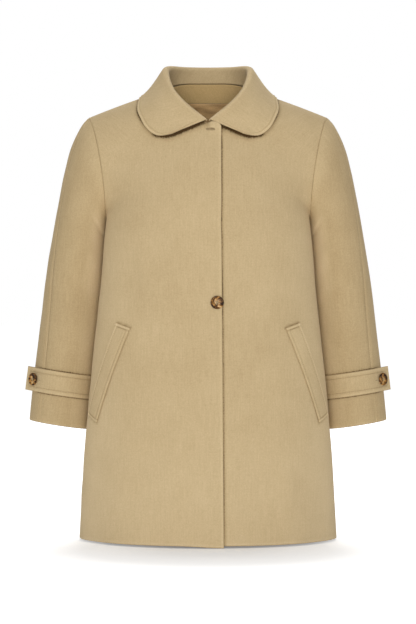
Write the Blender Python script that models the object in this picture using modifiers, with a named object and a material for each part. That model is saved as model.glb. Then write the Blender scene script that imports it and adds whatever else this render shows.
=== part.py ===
"""Women's short A-line overcoat in brushed wool, filled out as worn, with no wearer inside.

Metres, +Z up. The coat faces -Y and the wearer's left is at +X. The origin is the centre of the neck
opening, level with the side neck points.
"""
import math

import bmesh
import bpy
import numpy as np
from mathutils import Vector
from mathutils.bvhtree import BVHTree

# Cloth
COAT_WALL = 0.0022          # brushed wool with its interlining
DOUBLE_WALL = 0.0028        # collar, tabs and welts are two layers
FACING_WALL = 0.0015
LINING_WALL = 0.0010
SEAM_GAP = 0.0003
REST_GAP = 0.0004           # between a piece and the panel that it lies on

# Body
COAT_LENGTH = 0.778         # side neck point to hem
UNDERARM_Z = -0.228
SIDE_SEAM_Y = 0.006
SHOULDER_X = 0.2095         # shoulder point, half of the shoulder width
SHOULDER_Z = -0.0455
SHOULDER_CURVE = 1.05       # 1 is a straight shoulder seam
SHOULDER_ARC = math.radians(30)
ARMHOLE_HALF_DEPTH = 0.066

# Neck
NECK_HALF_WIDTH = 0.076
SIDE_NECK_Y = 0.002
SIDE_NECK_Z = 0.003
NECK_FRONT_Z = -0.0615
NECK_BACK_Z = 0.017
FRONT_NECK_SHARE = 0.52     # how far up the armhole the centre front ends
BACK_NECK_SHARE = 0.25      # of the back's top edge, the rest is the shoulder seam
YOKE_START = 1.5            # row where the back begins to round over to the shoulder

# Front lap, wearer's right over left
LAP_TOP = 0.023
LAP_HEM = 0.027
LAP_LIFT = 0.0013           # the upper layer moves out and the lower one in by this much
LAP_FLAT = 0.029            # both layers are clear of each other up to here
LAP_BLEND = 0.085

# Collar
COLLAR_END = math.radians(1.4)
FOLD_RADIUS = 0.0052
FOLD_SHARE = 0.40           # of the stand's height, where that is low
LEAF_FLARE = 0.8            # how much the leaf's edge turns to lie along the coat
LEAF_CLEAR = 0.0024         # middle of the leaf over the shoulder
LEAF_CLEAR_FRONT = 0.0036   # and over the lap
LEAF_CLEAR_TURNS = (20, 70)
STAND_LIFT = 0.0028

# Inside the back neck
FACING_SHARE = 0.24         # of the back's half width, from the centre
FACING_FOOT_Z = -0.012
LINING_FOOT_Z = -0.110
FACING_TOP = 1.99           # just below the neck seam
INSIDE_GAP = 0.0015

# Sleeve
OVERARM_SEAM_TOP = math.radians(14)
OVERARM_SEAM_CUFF = math.radians(48)
TAB_TOP = 0.829             # stations down the sleeve
TAB_FOOT = 0.905
TAB_LIFT_OFF = math.radians(45)
TAB_FREE_LENGTH = 0.037
TAB_BUTTON_AT = 0.0155      # from where the tab leaves the sleeve
TAB_ROOT = math.radians(176)

# Buttons
BUTTON_RADIUS = 0.01125
BUTTON_HEIGHT = 0.0040
HOLE_RADIUS = 0.0011
HOLE_SPREAD = 0.0022
FRONT_BUTTON_X = 0.0153
FRONT_BUTTON_Z = -0.369


def table(names, *rows):
    return {name: np.array(column, float) for name, column in zip(names, zip(*rows))}


CENTRE_LINES = table(
    ("height", "front", "back"),
    (-0.778, -0.1700, 0.1650),
    (-0.580, -0.1610, 0.1440),
    (-0.380, -0.1520, 0.1260),
    (-0.228, -0.1415, 0.1160),
    (-0.150, -0.1260, 0.1100),
    (-0.062, -0.0915, 0.0960),
    (-0.020, -0.0740, 0.0815),
    (0.017, -0.0600, 0.0620))

# corner is the power of the back's oval: 2 is an ellipse and more is squarer
GIRTH = table(
    ("height", "half_width", "widest", "corner"),
    (-0.778, 0.2215, -0.015, 2.1),
    (-0.680, 0.2165, -0.020, 2.1),
    (-0.580, 0.2100, -0.026, 2.1),
    (-0.480, 0.2010, -0.032, 2.1),
    (-0.380, 0.1905, -0.036, 2.2),
    (-0.290, 0.1815, -0.039, 2.4),
    (-0.228, 0.1775, -0.040, 2.6))

# Armhole turned from the shoulder point: a quarter at the front, half at the underarm, three at the back
ARMHOLE = table(
    ("turn", "x"),
    (-30, 0.2030),
    (0, 0.2095),
    (30, 0.2020),
    (60, 0.1925),
    (90, 0.1840),
    (115, 0.1795),
    (135, 0.1780),
    (155, 0.1772),
    (180, 0.1745),
    (205, 0.1715),
    (230, 0.1720),
    (250, 0.1765),
    (270, 0.1835),
    (300, 0.1940),
    (330, 0.2030),
    (360, 0.2095),
    (390, 0.2020))

# Soft flutes of the skirt, on both sides, turned from the centre front
FLUTES = table(
    ("turn", "spread", "depth", "start"),
    (60, 13, -0.0030, -0.36),
    (87, 12, 0.0025, -0.42),
    (116, 13, -0.0045, -0.34),
    (146, 14, 0.0050, -0.38),
    (180, 13, -0.0040, -0.40))

# armhole is the share of the armhole's own shape in each ring
SLEEVE = table(
    ("station", "over_x", "over_z", "under_x", "under_z", "mid_y", "half_depth", "armhole"),
    (0.000, 0.2095, -0.0455, 0.1745, -0.2280, 0.0060, 0.0660, 1.00),
    (0.022, 0.2180, -0.0545, 0.1750, -0.2300, 0.0065, 0.0662, 0.85),
    (0.057, 0.2280, -0.0705, 0.1755, -0.2330, 0.0075, 0.0666, 0.65),
    (0.113, 0.2400, -0.0980, 0.1760, -0.2370, 0.0095, 0.0670, 0.45),
    (0.185, 0.2502, -0.1350, 0.1768, -0.2430, 0.0125, 0.0670, 0.22),
    (0.277, 0.2605, -0.1840, 0.1778, -0.2520, 0.0160, 0.0662, 0.07),
    (0.380, 0.2710, -0.2395, 0.1790, -0.2690, 0.0200, 0.0650, 0.00),
    (0.512, 0.2830, -0.3100, 0.1825, -0.3260, 0.0240, 0.0628, 0.00),
    (0.660, 0.2933, -0.3900, 0.1885, -0.4055, 0.0280, 0.0600, 0.00),
    (0.800, 0.3027, -0.4655, 0.1965, -0.4815, 0.0310, 0.0575, 0.00),
    (0.911, 0.3100, -0.5260, 0.2035, -0.5420, 0.0330, 0.0555, 0.00),
    (1.000, 0.3150, -0.5746, 0.2090, -0.5910, 0.0340, 0.0545, 0.00))

# Fold of the collar, turned round the neck from the centre front; the last row is past the centre back
ROLL_LINE = table(
    ("turn", "x", "y", "height"),
    (0, 0.0020, -0.0965, -0.0575),
    (20, 0.0315, -0.0905, -0.0370),
    (45, 0.0570, -0.0740, -0.0090),
    (65, 0.0680, -0.0500, 0.0120),
    (85, 0.0728, -0.0220, 0.0340),
    (110, 0.0685, 0.0145, 0.0450),
    (145, 0.0420, 0.0545, 0.0479),
    (180, 0.0000, 0.0685, 0.0486),
    (215, -0.0420, 0.0545, 0.0479))

# Edge of the collar's leaf: its height on the coat along a bearing from the neck's axis
LEAF_EDGE = table(
    ("turn", "bearing", "height"),
    (0, 31.8, -0.0800),
    (7, 39.3, -0.0840),
    (14, 44.6, -0.0840),
    (24, 50.6, -0.0750),
    (38, 60.0, -0.0530),
    (49, 67.5, -0.0395),
    (60, 75.0, -0.0282),
    (72, 83.5, -0.0182),
    (85, 92.0, -0.0116),
    (110, 112.0, -0.0165),
    (145, 146.0, -0.0260),
    (180, 180.0, -0.0300),
    (215, 214.0, -0.0260))

# Corners of a pocket welt on the front: turn from the centre front, and height
WELT_TOP_OUTER = (math.radians(53.6), -0.403)
WELT_TOP_INNER = (math.radians(42.4), -0.412)
WELT_FOOT_INNER = (math.radians(65.3), -0.575)
WELT_FOOT_OUTER = (math.radians(79.0), -0.562)

# Half section of a button from its dished middle over the rim, in shares of its radius and height
BUTTON_SECTION = table(
    ("radius", "height"),
    (0.000, 0.70),
    (0.610, 0.70),
    (0.805, 1.00),
    (0.940, 0.90),
    (1.000, 0.60),
    (0.860, 0.15),
    (0.600, 0.00),
    (0.000, 0.00))

# Grids
SKIRT_ROWS = 11
CHEST_ROWS = 6
YOKE_ROWS = 6
FRONT_COLUMNS = 13
BACK_COLUMNS = 17
INSIDE_COLUMNS = 9
FACING_ROWS = 6
LINING_ROWS = 7
SLEEVE_ROWS = 16
SLEEVE_COLUMNS = 9
COLLAR_COLUMNS = 27
STAND_POINTS = 3
FOLD_POINTS = 6
LEAF_POINTS = 6
WELT_COLUMNS = 5
WELT_ROWS = 10
TAB_COLUMNS = 14
TAB_ROWS = 4
TAB_FREE_STEPS = 3
CROWN_CROWDING = 0.35       # how much closer the sleeve's rings are at the crown
BUTTON_SIDES = 24
HOLE_SIDES = 8
SKIN_COLUMNS = 40
SKIN_ROWS = 60
SKIN_PAST_CENTRE = 0.06     # the skin runs this share past the centre line
SEARCH_ROWS = 200

# Mesh
TINY = 1e-9
NORMAL_STEP = 1e-4
NEAR_ARMHOLE = 2e-3         # station where the sleeve's normal at the armhole is read
ROLL_STEP = 0.5             # degrees
TAB_STEP = 0.02
MERGE = 0.00001
SHARP_ANGLE = math.radians(45)

FRONT, BACK = -1, 1
RIGHT, LEFT = -1, 1         # the wearer's sides

CLOTH = ("camel_wool", (0.578, 0.440, 0.246), 0.95)
LINING = ("brown_lining", (0.205, 0.122, 0.075), 0.45)
BUTTON = ("tortoiseshell_plastic", (0.095, 0.035, 0.014), 0.22)


def along(columns, name, at):
    """Smooth curve through one column of a table, over its first column."""
    steps = next(iter(columns.values()))
    values = columns[name]
    slopes = np.gradient(values, steps)
    low = np.clip(np.searchsorted(steps, at) - 1, 0, len(steps) - 2)
    gap = steps[low + 1] - steps[low]
    w = (at - steps[low]) / gap
    return ((2 * w**3 - 3 * w**2 + 1) * values[low] + (w**3 - 2 * w**2 + w) * gap * slopes[low]
            + (3 * w**2 - 2 * w**3) * values[low + 1] + (w**3 - w**2) * gap * slopes[low + 1])


def unit(v):
    return v / np.linalg.norm(v, axis=-1, keepdims=True)


def ease(w):
    w = np.clip(w, 0.0, 1.0)
    return w * w * (3 - 2 * w)


def points(x, y, z):
    return np.stack(np.broadcast_arrays(x, y, z), axis=-1)


def oval(turn, power):
    """Across and depth shares of the back's oval at a turn from the centre back."""
    c, s = np.cos(turn), np.sin(turn)
    return np.sign(s) * np.abs(s) ** (2 / power), np.sign(c) * np.abs(c) ** (2 / power)


def seam_turn(height):
    """Turn of the side seam from the centre back, on the oval section at a height."""
    widest = along(GIRTH, "widest", height)
    depth = along(CENTRE_LINES, "back", height) - widest
    return np.arccos(((SIDE_SEAM_Y - widest) / depth) ** (along(GIRTH, "corner", height) / 2))


def ring(turn, over, under, mid_y, half_depth, armhole_share):
    """Slanted oval: 0 at the overarm, a quarter turn at the front, half at the underarm. It takes a share
    of the armhole's own shape."""
    c = np.cos(turn)
    own = along(ARMHOLE, "x", np.degrees(turn))
    own = own - (ARMHOLE_TOP_X + ARMHOLE_FOOT_X) / 2 - (ARMHOLE_TOP_X - ARMHOLE_FOOT_X) / 2 * c
    x = (over[0] + under[0]) / 2 + (over[0] - under[0]) / 2 * c + armhole_share * own
    z = (over[1] + under[1]) / 2 + (over[1] - under[1]) / 2 * c
    return points(x, mid_y - half_depth * np.sin(turn), z)


ARMHOLE_TOP_X = float(along(ARMHOLE, "x", 0))
ARMHOLE_FOOT_X = float(along(ARMHOLE, "x", 180))


def armhole(turn):
    return ring(turn, (SHOULDER_X, SHOULDER_Z), (ARMHOLE_FOOT_X, UNDERARM_Z), SIDE_SEAM_Y,
                ARMHOLE_HALF_DEPTH, 1.0)


def neckline(share, face):
    """Neck seam of one face, from its centre line at 0 to the side neck point at 1."""
    c = np.cos(math.pi / 2 * share)
    height = NECK_FRONT_Z if face == FRONT else NECK_BACK_Z
    centre_y = along(CENTRE_LINES, "front" if face == FRONT else "back", height)
    across = share if face == FRONT else np.sin(math.pi / 2 * share)
    fall = 1 - share if face == FRONT else 1 - across**4
    return points(NECK_HALF_WIDTH * across, SIDE_NECK_Y + (centre_y - SIDE_NECK_Y) * c,
                  SIDE_NECK_Z + (height - SIDE_NECK_Z) * fall)


def row_ends(t, face):
    """Centre and side ends of the body's rows, and the turn between them. t is 0 at the hem, 1 at the
    underarm and 2 at the shoulder seam."""
    name, neck_z, share = (("front", NECK_FRONT_Z, FRONT_NECK_SHARE) if face == FRONT
                           else ("back", NECK_BACK_Z, 1.0))
    z = row_height(t)
    rise = np.maximum(t - 1.0, 0.0)
    seam = seam_turn(z)
    across, _ = oval(seam, along(GIRTH, "corner", z))
    side = points(along(GIRTH, "half_width", z) * across, SIDE_SEAM_Y, z)
    arm = armhole(math.pi * (1 + face * rise))
    side = np.where((t <= 1.0)[..., None], side, arm)
    centre_z = np.where(t <= 1.0, z, UNDERARM_Z + (neck_z - UNDERARM_Z) * np.minimum(rise / share, 1))
    centre = points(0.0, along(CENTRE_LINES, name, centre_z), centre_z)
    if face == FRONT:
        neck = neckline(np.maximum(rise - share, 0) / (1 - share), FRONT)
        centre = np.where((rise <= share)[..., None], centre, neck)
    end = math.pi - seam if face == FRONT else seam
    return centre, side, end + (SHOULDER_ARC - end) * np.sin(math.pi / 2 * rise)


def row_height(t):
    """Height of the body's level rows; those above the underarm keep its height."""
    return -COAT_LENGTH + (UNDERARM_Z + COAT_LENGTH) * np.minimum(t, 1.0)


def arc(turn, t, face):
    """Across and depth shares at a turn from a face's centre line. Past the widest line the front
    follows the back's oval."""
    z = row_height(t)
    power = along(GIRTH, "corner", z)
    if face == BACK:
        return oval(turn, power)
    widest = along(GIRTH, "widest", z)
    ratio = (along(CENTRE_LINES, "back", z) - widest) / (widest - along(CENTRE_LINES, "front", z))
    across, depth = oval(math.pi - turn, power)
    past = np.cos(turn) < 0
    return np.where(past, across, np.sin(turn)), np.where(past, -ratio * depth, np.cos(turn))


def flute_depth(turn, height):
    """How far the flutes move the skirt out at a turn from the centre front."""
    total = np.zeros(np.broadcast(turn, height).shape)
    for middle, spread, depth, start in zip(*FLUTES.values()):
        fade = ease((start - height) / (start + COAT_LENGTH))
        total = total + depth * fade * np.exp(-((turn - math.radians(middle)) / math.radians(spread)) ** 2)
    return total


def rows_between(s, t, face):
    """Rows of half a front or back: arcs from the centre line or front neck to the side or armhole."""
    centre, side, end = row_ends(t, face)
    turn = s * end
    across, depth = arc(turn, t, face)
    across_end, depth_end = arc(end, t, face)
    across, depth = across / across_end, (depth - depth_end) / (1 - depth_end)
    power = 2 + (SHOULDER_CURVE - 2) * np.clip(t - 1, 0, 1)
    x = centre[..., 0] + (side[..., 0] - centre[..., 0]) * across
    y = side[..., 1] + (centre[..., 1] - side[..., 1]) * depth
    z = centre[..., 2] + (side[..., 2] - centre[..., 2]) * np.abs(s) ** power
    out = flute_depth(turn if face == FRONT else math.pi - turn, z)
    return points(x + out * np.sin(turn), y + face * out * np.cos(turn), z)


def shoulder_share(s):
    """Share of the shoulder seam at a share of the back's top edge."""
    return (s - BACK_NECK_SHARE) / (1 - BACK_NECK_SHARE)


def back_top(s):
    """Top edge of half the back: the neck seam, then the shoulder seam of the front."""
    neck = neckline(np.minimum(s / BACK_NECK_SHARE, 1), BACK)
    seam = rows_between(np.maximum(shoulder_share(s), 0), np.full_like(s, 2.0), FRONT)
    return np.where((s < BACK_NECK_SHARE)[..., None], neck, seam)


def half_body(s, t, face):
    """Outer face of half a front or back, at +X. s is 0 on the centre line and 1 on the side seam."""
    s, t = np.broadcast_arrays(np.asarray(s, float), np.asarray(t, float))
    if face == FRONT:
        return rows_between(s, t, FRONT)
    w = np.clip((t - YOKE_START) / (2 - YOKE_START), 0, 1)
    bend = 1 - np.sqrt(1 - w * w)
    top = back_top(np.abs(s)) * np.where(s < 0, -1, 1)[..., None] ** np.array([1, 0, 0])
    return rows_between(s, t, BACK) + bend[..., None] * (top - rows_between(s, np.full_like(t, 2.0), BACK))


def sleeve(turn, t):
    """Outer face of the +X sleeve. t is 0 at the armhole and 1 at the cuff."""
    turn, t = np.broadcast_arrays(np.asarray(turn, float), np.asarray(t, float))
    col = {name: along(SLEEVE, name, t) for name in SLEEVE}
    return ring(turn, (col["over_x"], col["over_z"]), (col["under_x"], col["under_z"]), col["mid_y"],
                col["half_depth"], col["armhole"])


def normals(surface, u, v, sign=1.0):
    along_u = surface(u + NORMAL_STEP, v) - surface(u - NORMAL_STEP, v)
    along_v = surface(u, v + NORMAL_STEP) - surface(u, v - NORMAL_STEP)
    return sign * unit(np.cross(along_u, along_v))


def body_normals(s, t, face):
    t = np.minimum(t, 2 - 2 * NORMAL_STEP) if face == BACK else t
    return normals(lambda a, b: half_body(a, b, face), s, t, -face)


def side_normals(t):
    """Middle of the two faces' normals on the side seam."""
    one = np.ones_like(t)
    return unit(body_normals(one, t, FRONT) + body_normals(one, t, BACK))


def shoulder_normals(share):
    """Middle of the two faces' normals on the shoulder seam."""
    top = np.full_like(share, 2.0)
    across = BACK_NECK_SHARE + (1 - BACK_NECK_SHARE) * share
    return unit(body_normals(share, top, FRONT) + body_normals(across, top, BACK))


def armhole_normals(t, face):
    """Middle of the body's and the sleeve's normals, on the armhole at the body's row t."""
    one = np.ones_like(t)
    body = body_normals(one, t, face)
    body = np.where((np.abs(t - 1) < TINY)[:, None], side_normals(t), body)
    body = np.where((np.abs(t - 2) < TINY)[:, None], shoulder_normals(one), body)
    arm = normals(sleeve, math.pi * (1 + face * (t - 1)), np.full_like(t, NEAR_ARMHOLE))
    return unit(body + arm)


def half_wall(s, t, face):
    """Outer grid and normals of half a front or back, mitred where it meets other pieces."""
    outer = half_body(s, t, face)
    n = body_normals(s, t, face)
    rows = t[:, 0]
    n[rows <= 1.0, -1] = side_normals(rows[rows <= 1.0])
    share = s[-1] if face == FRONT else shoulder_share(s[-1])
    n[-1, share >= 0] = shoulder_normals(share[share >= 0])
    n[rows >= 1.0, -1] = armhole_normals(rows[rows >= 1.0], face)
    return outer, n


def open_seam(outer, inner, index, beside):
    """Draw one edge of a wall back by half the seam's gap."""
    step = SEAM_GAP / 2 * unit(outer[beside] - outer[index])
    outer[index] += step
    inner[index] += step


LAST_COLUMN = ((slice(None), -1), (slice(None), -2))
FIRST_COLUMN = ((slice(None), 0), (slice(None), 1))
LAST_ROW = (-1, -2)
FIRST_ROW = (0, 1)


def front_rows():
    neck = 1 + FRONT_NECK_SHARE
    return np.concatenate((np.linspace(0, 1, SKIRT_ROWS),
                           np.linspace(1, neck, CHEST_ROWS + 1)[1:],
                           np.linspace(neck, 2, YOKE_ROWS + 1)[1:]))


def back_rows():
    """Rows of the back, closest where it rounds over to the shoulder."""
    w = np.linspace(0, 1, YOKE_ROWS + 3)[1:]
    return np.concatenate((np.linspace(0, 1, SKIRT_ROWS),
                           1 + (YOKE_START - 1) * np.linspace(0, 1, CHEST_ROWS - 1)[1:],
                           YOKE_START + (2 - YOKE_START) * np.sin(math.pi / 2 * w)))


def lap_edge(rows):
    """Share s of the front edge, past the centre front."""
    _, side, end = row_ends(rows, FRONT)
    width = LAP_TOP + (LAP_HEM - LAP_TOP) * np.clip(1 - rows, 0, 1)
    return -np.arcsin(width * arc(end, rows, FRONT)[0] / side[:, 0]) / end


def lap_offset(x):
    return LAP_LIFT * (1 - ease((np.abs(x) - LAP_FLAT) / (LAP_BLEND - LAP_FLAT)))


def front_grid(lift):
    """Walls of a front at +X, and which of its grid points are kept. lift is +1 on the upper layer."""
    rows = front_rows()
    edge = lap_edge(rows)
    s = np.concatenate((edge[:, None], edge[:, None] / 2,
                        np.tile(np.linspace(0, 1, FRONT_COLUMNS), (len(rows), 1))), axis=1)
    t = np.repeat(rows[:, None], s.shape[1], axis=1)
    outer, n = half_wall(s, t, FRONT)
    inner = outer - COAT_WALL * n
    open_seam(outer, inner, *LAST_COLUMN)
    open_seam(outer, inner, *LAST_ROW)
    shift = lift * lap_offset(outer[..., 0])
    outer[..., 1] -= shift
    inner[..., 1] -= shift
    keep = np.ones(s.shape, bool)
    keep[rows > 1 + FRONT_NECK_SHARE + TINY, :2] = False
    return outer, inner, keep


def back_grid():
    s, t = np.meshgrid(np.linspace(0, 1, BACK_COLUMNS), back_rows())
    outer, n = half_wall(s, t, BACK)
    inner = outer - COAT_WALL * n
    open_seam(outer, inner, *LAST_COLUMN)
    open_seam(outer, inner, *LAST_ROW)
    return outer, inner


def back_row_at(height, s):
    """Row of the back that is at a height, at share s."""
    rows = np.linspace(1, 2, SEARCH_ROWS)
    return np.array([np.interp(height, half_body(np.full_like(rows, share), rows, BACK)[:, 2], rows)
                     for share in s])


def inside_back(foot, top, wall, rows):
    """Walls of a piece that lies inside the back neck, between two levels of the back."""
    s = np.linspace(0, FACING_SHARE, INSIDE_COLUMNS)
    w = np.linspace(0, 1, rows)[:, None]
    t = foot(s)[None, :] * (1 - w) + top(s)[None, :] * w
    s = np.repeat(s[None, :], rows, axis=0)
    n = body_normals(s, t, BACK)
    near = half_body(s, t, BACK) - (COAT_WALL + INSIDE_GAP) * n
    return near, near - wall * n


def facing_grid():
    return inside_back(lambda s: back_row_at(FACING_FOOT_Z, s), lambda s: np.full_like(s, FACING_TOP),
                       FACING_WALL, FACING_ROWS)


def lining_grid():
    outer, inner = inside_back(lambda s: back_row_at(LINING_FOOT_Z, s),
                               lambda s: back_row_at(FACING_FOOT_Z, s), LINING_WALL, LINING_ROWS)
    open_seam(outer, inner, *LAST_ROW)
    return outer, inner


def overarm_seam(t):
    return OVERARM_SEAM_TOP + (OVERARM_SEAM_CUFF - OVERARM_SEAM_TOP) * np.sin(math.pi / 2 * t)


def sleeve_rows():
    """Stations of the rings, closest at the crown."""
    w = np.linspace(0, 1, SLEEVE_ROWS + 1)
    return CROWN_CROWDING * w**2 + (1 - CROWN_CROWDING) * w


def sleeve_grid(face):
    """Walls of the front or back half of the +X sleeve."""
    rows = sleeve_rows()
    seam = overarm_seam(rows)
    start, end = (seam, math.pi) if face == FRONT else (math.pi, 2 * math.pi + seam)
    w = np.linspace(0, 1, SLEEVE_COLUMNS)[None, :]
    turn = np.reshape(start, (-1, 1)) * (1 - w) + np.reshape(end, (-1, 1)) * w
    t = np.repeat(rows[:, None], SLEEVE_COLUMNS, axis=1)
    outer = sleeve(turn, t)
    n = normals(sleeve, turn, np.maximum(t, NEAR_ARMHOLE))
    rise = np.abs(np.mod(turn[0], 2 * math.pi) - math.pi) / math.pi
    faces = np.where(np.sin(turn[0]) >= 0, FRONT, BACK)
    n[0] = np.where(faces[:, None] == FRONT, armhole_normals(1 + rise, FRONT),
                    armhole_normals(1 + rise, BACK))
    inner = outer - COAT_WALL * n
    for index, beside in (FIRST_ROW, FIRST_COLUMN, LAST_COLUMN):
        open_seam(outer, inner, index, beside)
    return outer, inner


def body_skin():
    """The coat's upper body as one surface, for what rests on it."""
    corners, faces = [], []
    for face in (FRONT, BACK):
        s, t = np.meshgrid(np.linspace(-SKIN_PAST_CENTRE, 1, SKIN_COLUMNS), np.linspace(1, 2, SKIN_ROWS))
        grid = half_body(s, t, face)
        number = np.arange(s.size).reshape(s.shape) + len(corners)
        corners.extend(Vector(p) for p in grid.reshape(-1, 3))
        faces.extend(np.stack((number[:-1, :-1], number[:-1, 1:], number[1:, 1:], number[1:, :-1]),
                              axis=-1).reshape(-1, 4).tolist())
    return BVHTree.FromPolygons(corners, faces)


def leaf_edge(turns):
    """Edge of the collar's leaf, just clear of the coat that it lies on."""
    skin = body_skin()
    rim = []
    for turn in np.degrees(turns):
        bearing = math.radians(along(LEAF_EDGE, "bearing", turn))
        way = Vector((math.sin(bearing), -math.cos(bearing), 0.0))
        hit, n, _, _ = skin.ray_cast(Vector((0.0, 0.0, along(LEAF_EDGE, "height", turn))), way)
        n = n if n.dot(way) > 0 else -n
        low, high = LEAF_CLEAR_TURNS
        clear = LEAF_CLEAR_FRONT + (LEAF_CLEAR - LEAF_CLEAR_FRONT) * float(ease((turn - low) / (high - low)))
        rim.append(hit + clear * n)
    return np.array(rim)


def touch_angle(way, radius, side):
    """Angle round the fold where a line from outside touches it. way holds the out and down reach of
    the line's far end from the fold's centre; angles run from down towards out."""
    reach = math.hypot(*way)
    return math.atan2(way[0], way[1]) + side * math.acos(min(radius / reach, 1.0))


def collar_section(foot, roll, rim, tangent):
    """Middle line of the collar in one plane: up the stand, over the round fold and down the leaf."""
    to_foot = foot - roll
    to_rim = rim - roll
    stand = unit(to_foot - tangent * np.dot(to_foot, tangent))
    leaf = unit(to_rim - tangent * np.dot(to_rim, tangent))
    down = unit(stand + leaf)
    out = unit(leaf - stand)
    radius = min(FOLD_RADIUS, FOLD_SHARE * np.linalg.norm(to_foot))
    centre = roll + radius * down
    first = touch_angle((np.dot(foot - centre, out), np.dot(foot - centre, down)), radius, -1)
    last = touch_angle((np.dot(rim - centre, out), np.dot(rim - centre, down)), radius, 1)
    angles = np.linspace(first, last - 2 * math.pi, FOLD_POINTS)
    fold = [centre + radius * (math.sin(a) * out + math.cos(a) * down) for a in angles]
    line = [foot + (fold[0] - foot) * w for w in np.linspace(0, 1, STAND_POINTS)[:-1]] + fold
    start, reach = fold[-1], np.linalg.norm(rim - fold[-1])
    pull_a = start + (rim - start) / 3
    pull_b = rim - reach / 3 * unit(unit(rim - start) + LEAF_FLARE * unit(rim - foot))
    for w in np.linspace(0, 1, LEAF_POINTS)[1:]:
        v = 1 - w
        line.append(v**3 * start + 3 * w * v * v * pull_a + 3 * w * w * v * pull_b + w**3 * rim)
    return line


def collar_grid():
    """Walls of half the collar, from the centre front end to the centre back."""
    turns = np.linspace(COLLAR_END, math.pi, COLLAR_COLUMNS)
    share = turns / (math.pi / 2)
    foot = np.where((share < 1)[:, None], neckline(np.minimum(share, 1), FRONT),
                    neckline(np.minimum(2 - share, 1), BACK))
    foot[:, 2] += STAND_LIFT
    roll = points(*(along(ROLL_LINE, name, np.degrees(turns)) for name in ("x", "y", "height")))
    ahead = points(*(along(ROLL_LINE, name, np.degrees(turns) + ROLL_STEP) for name in ("x", "y", "height")))
    tangent = unit(ahead - roll)
    tangent[-1] = (-1.0, 0.0, 0.0)
    rim = leaf_edge(turns)
    middle = np.array([collar_section(*ends) for ends in zip(foot, roll, rim, tangent)]).swapaxes(0, 1)
    middle[:, -1, 0] = 0.0
    n = unit(np.cross(np.gradient(middle, axis=1), np.gradient(middle, axis=0)))
    n[:, -1, 0] = 0.0
    n = unit(n)
    return middle + DOUBLE_WALL / 2 * n, middle - DOUBLE_WALL / 2 * n


def welt_grid():
    """Walls of a welt on the front at +X."""
    w, v = np.meshgrid(np.linspace(0, 1, WELT_COLUMNS), np.linspace(0, 1, WELT_ROWS))
    corners = [np.array(c) for c in (WELT_TOP_OUTER, WELT_TOP_INNER, WELT_FOOT_INNER, WELT_FOOT_OUTER)]
    spot = ((1 - v)[..., None] * ((1 - w)[..., None] * corners[0] + w[..., None] * corners[1])
            + v[..., None] * ((1 - w)[..., None] * corners[3] + w[..., None] * corners[2]))
    t = (spot[..., 1] + COAT_LENGTH) / (UNDERARM_Z + COAT_LENGTH)
    s = spot[..., 0] / row_ends(t, FRONT)[2]
    base = half_body(s, t, FRONT)
    n = body_normals(s, t, FRONT)
    return base + (REST_GAP + DOUBLE_WALL) * n, base + REST_GAP * n


def tab_grid():
    """Walls of a cuff tab on the +X sleeve: round its front, then straight off it."""
    turn, t = np.meshgrid(np.linspace(TAB_ROOT, TAB_LIFT_OFF, TAB_COLUMNS),
                          np.linspace(TAB_TOP, TAB_FOOT, TAB_ROWS))
    n = normals(sleeve, turn, t)
    under = sleeve(turn, t) + REST_GAP * n
    way = unit(under[:, -1] - under[:, -2])
    way = unit(way - n[:, -1] * np.sum(way * n[:, -1], axis=-1, keepdims=True))
    share = np.linspace(0, 1, TAB_FREE_STEPS + 1)[1:, None]
    free = under[:, -1:] + share * TAB_FREE_LENGTH * way[:, None]
    under = np.concatenate((under, free), axis=1)
    n = np.concatenate((n, np.repeat(n[:, -1:], TAB_FREE_STEPS, axis=1)), axis=1)
    return under + DOUBLE_WALL * n, under


def tab_button_place():
    """Seat and axis of the button on the +X tab."""
    turn, t = np.array([TAB_LIFT_OFF, TAB_LIFT_OFF + TAB_STEP]), np.full(2, (TAB_TOP + TAB_FOOT) / 2)
    n = normals(sleeve, turn, t)[0]
    spots = sleeve(turn, t)
    way = unit(spots[0] - spots[1])
    way = unit(way - n * np.dot(way, n))
    return spots[0] + way * TAB_BUTTON_AT + n * (2 * REST_GAP + DOUBLE_WALL), n


def front_button_place():
    """Seat and axis of the button on the lap."""
    t = np.array([(FRONT_BUTTON_Z + COAT_LENGTH) / (UNDERARM_Z + COAT_LENGTH)])
    _, side, end = row_ends(t, FRONT)
    s = np.arcsin(FRONT_BUTTON_X * arc(end, t, FRONT)[0] / side[:, 0]) / end
    n = body_normals(s, t, FRONT)[0]
    seat = half_body(s, t, FRONT)[0] + n * REST_GAP
    seat[1] -= LAP_LIFT
    return seat, n


def clear_scene():
    for thing in list(bpy.data.objects):
        bpy.data.objects.remove(thing, do_unlink=True)


def new_collection(name):
    collection = bpy.data.collections.new(name)
    bpy.context.scene.collection.children.link(collection)
    return collection


def material(name, colour, roughness):
    found = bpy.data.materials.get(name)
    if found:
        return found
    made = bpy.data.materials.new(name)
    made.use_nodes = True
    shader = made.node_tree.nodes["Principled BSDF"]
    shader.inputs["Base Color"].default_value = (*colour, 1.0)
    shader.inputs["Roughness"].default_value = roughness
    shader.inputs["Metallic"].default_value = 0.0
    return made


def add_object(name, mesh, slot, collection):
    thing = bpy.data.objects.new(name, mesh)
    mesh.materials.append(material(*slot))
    collection.objects.link(thing)
    return thing


def grid_faces(keep):
    """Four-sided faces of a grid whose four corners are all kept."""
    number = np.arange(keep.size).reshape(keep.shape)
    whole = keep[:-1, :-1] & keep[:-1, 1:] & keep[1:, 1:] & keep[1:, :-1]
    quads = np.stack((number[:-1, :-1], number[:-1, 1:], number[1:, 1:], number[1:, :-1]), axis=-1)
    return quads[whole].tolist()


def rim_edges(faces):
    """Edges that only one face has, in that face's direction."""
    used = {(a, b) for face in faces for a, b in zip(face, face[1:] + face[:1])}
    return [(a, b) for a, b in used if (b, a) not in used]


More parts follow.
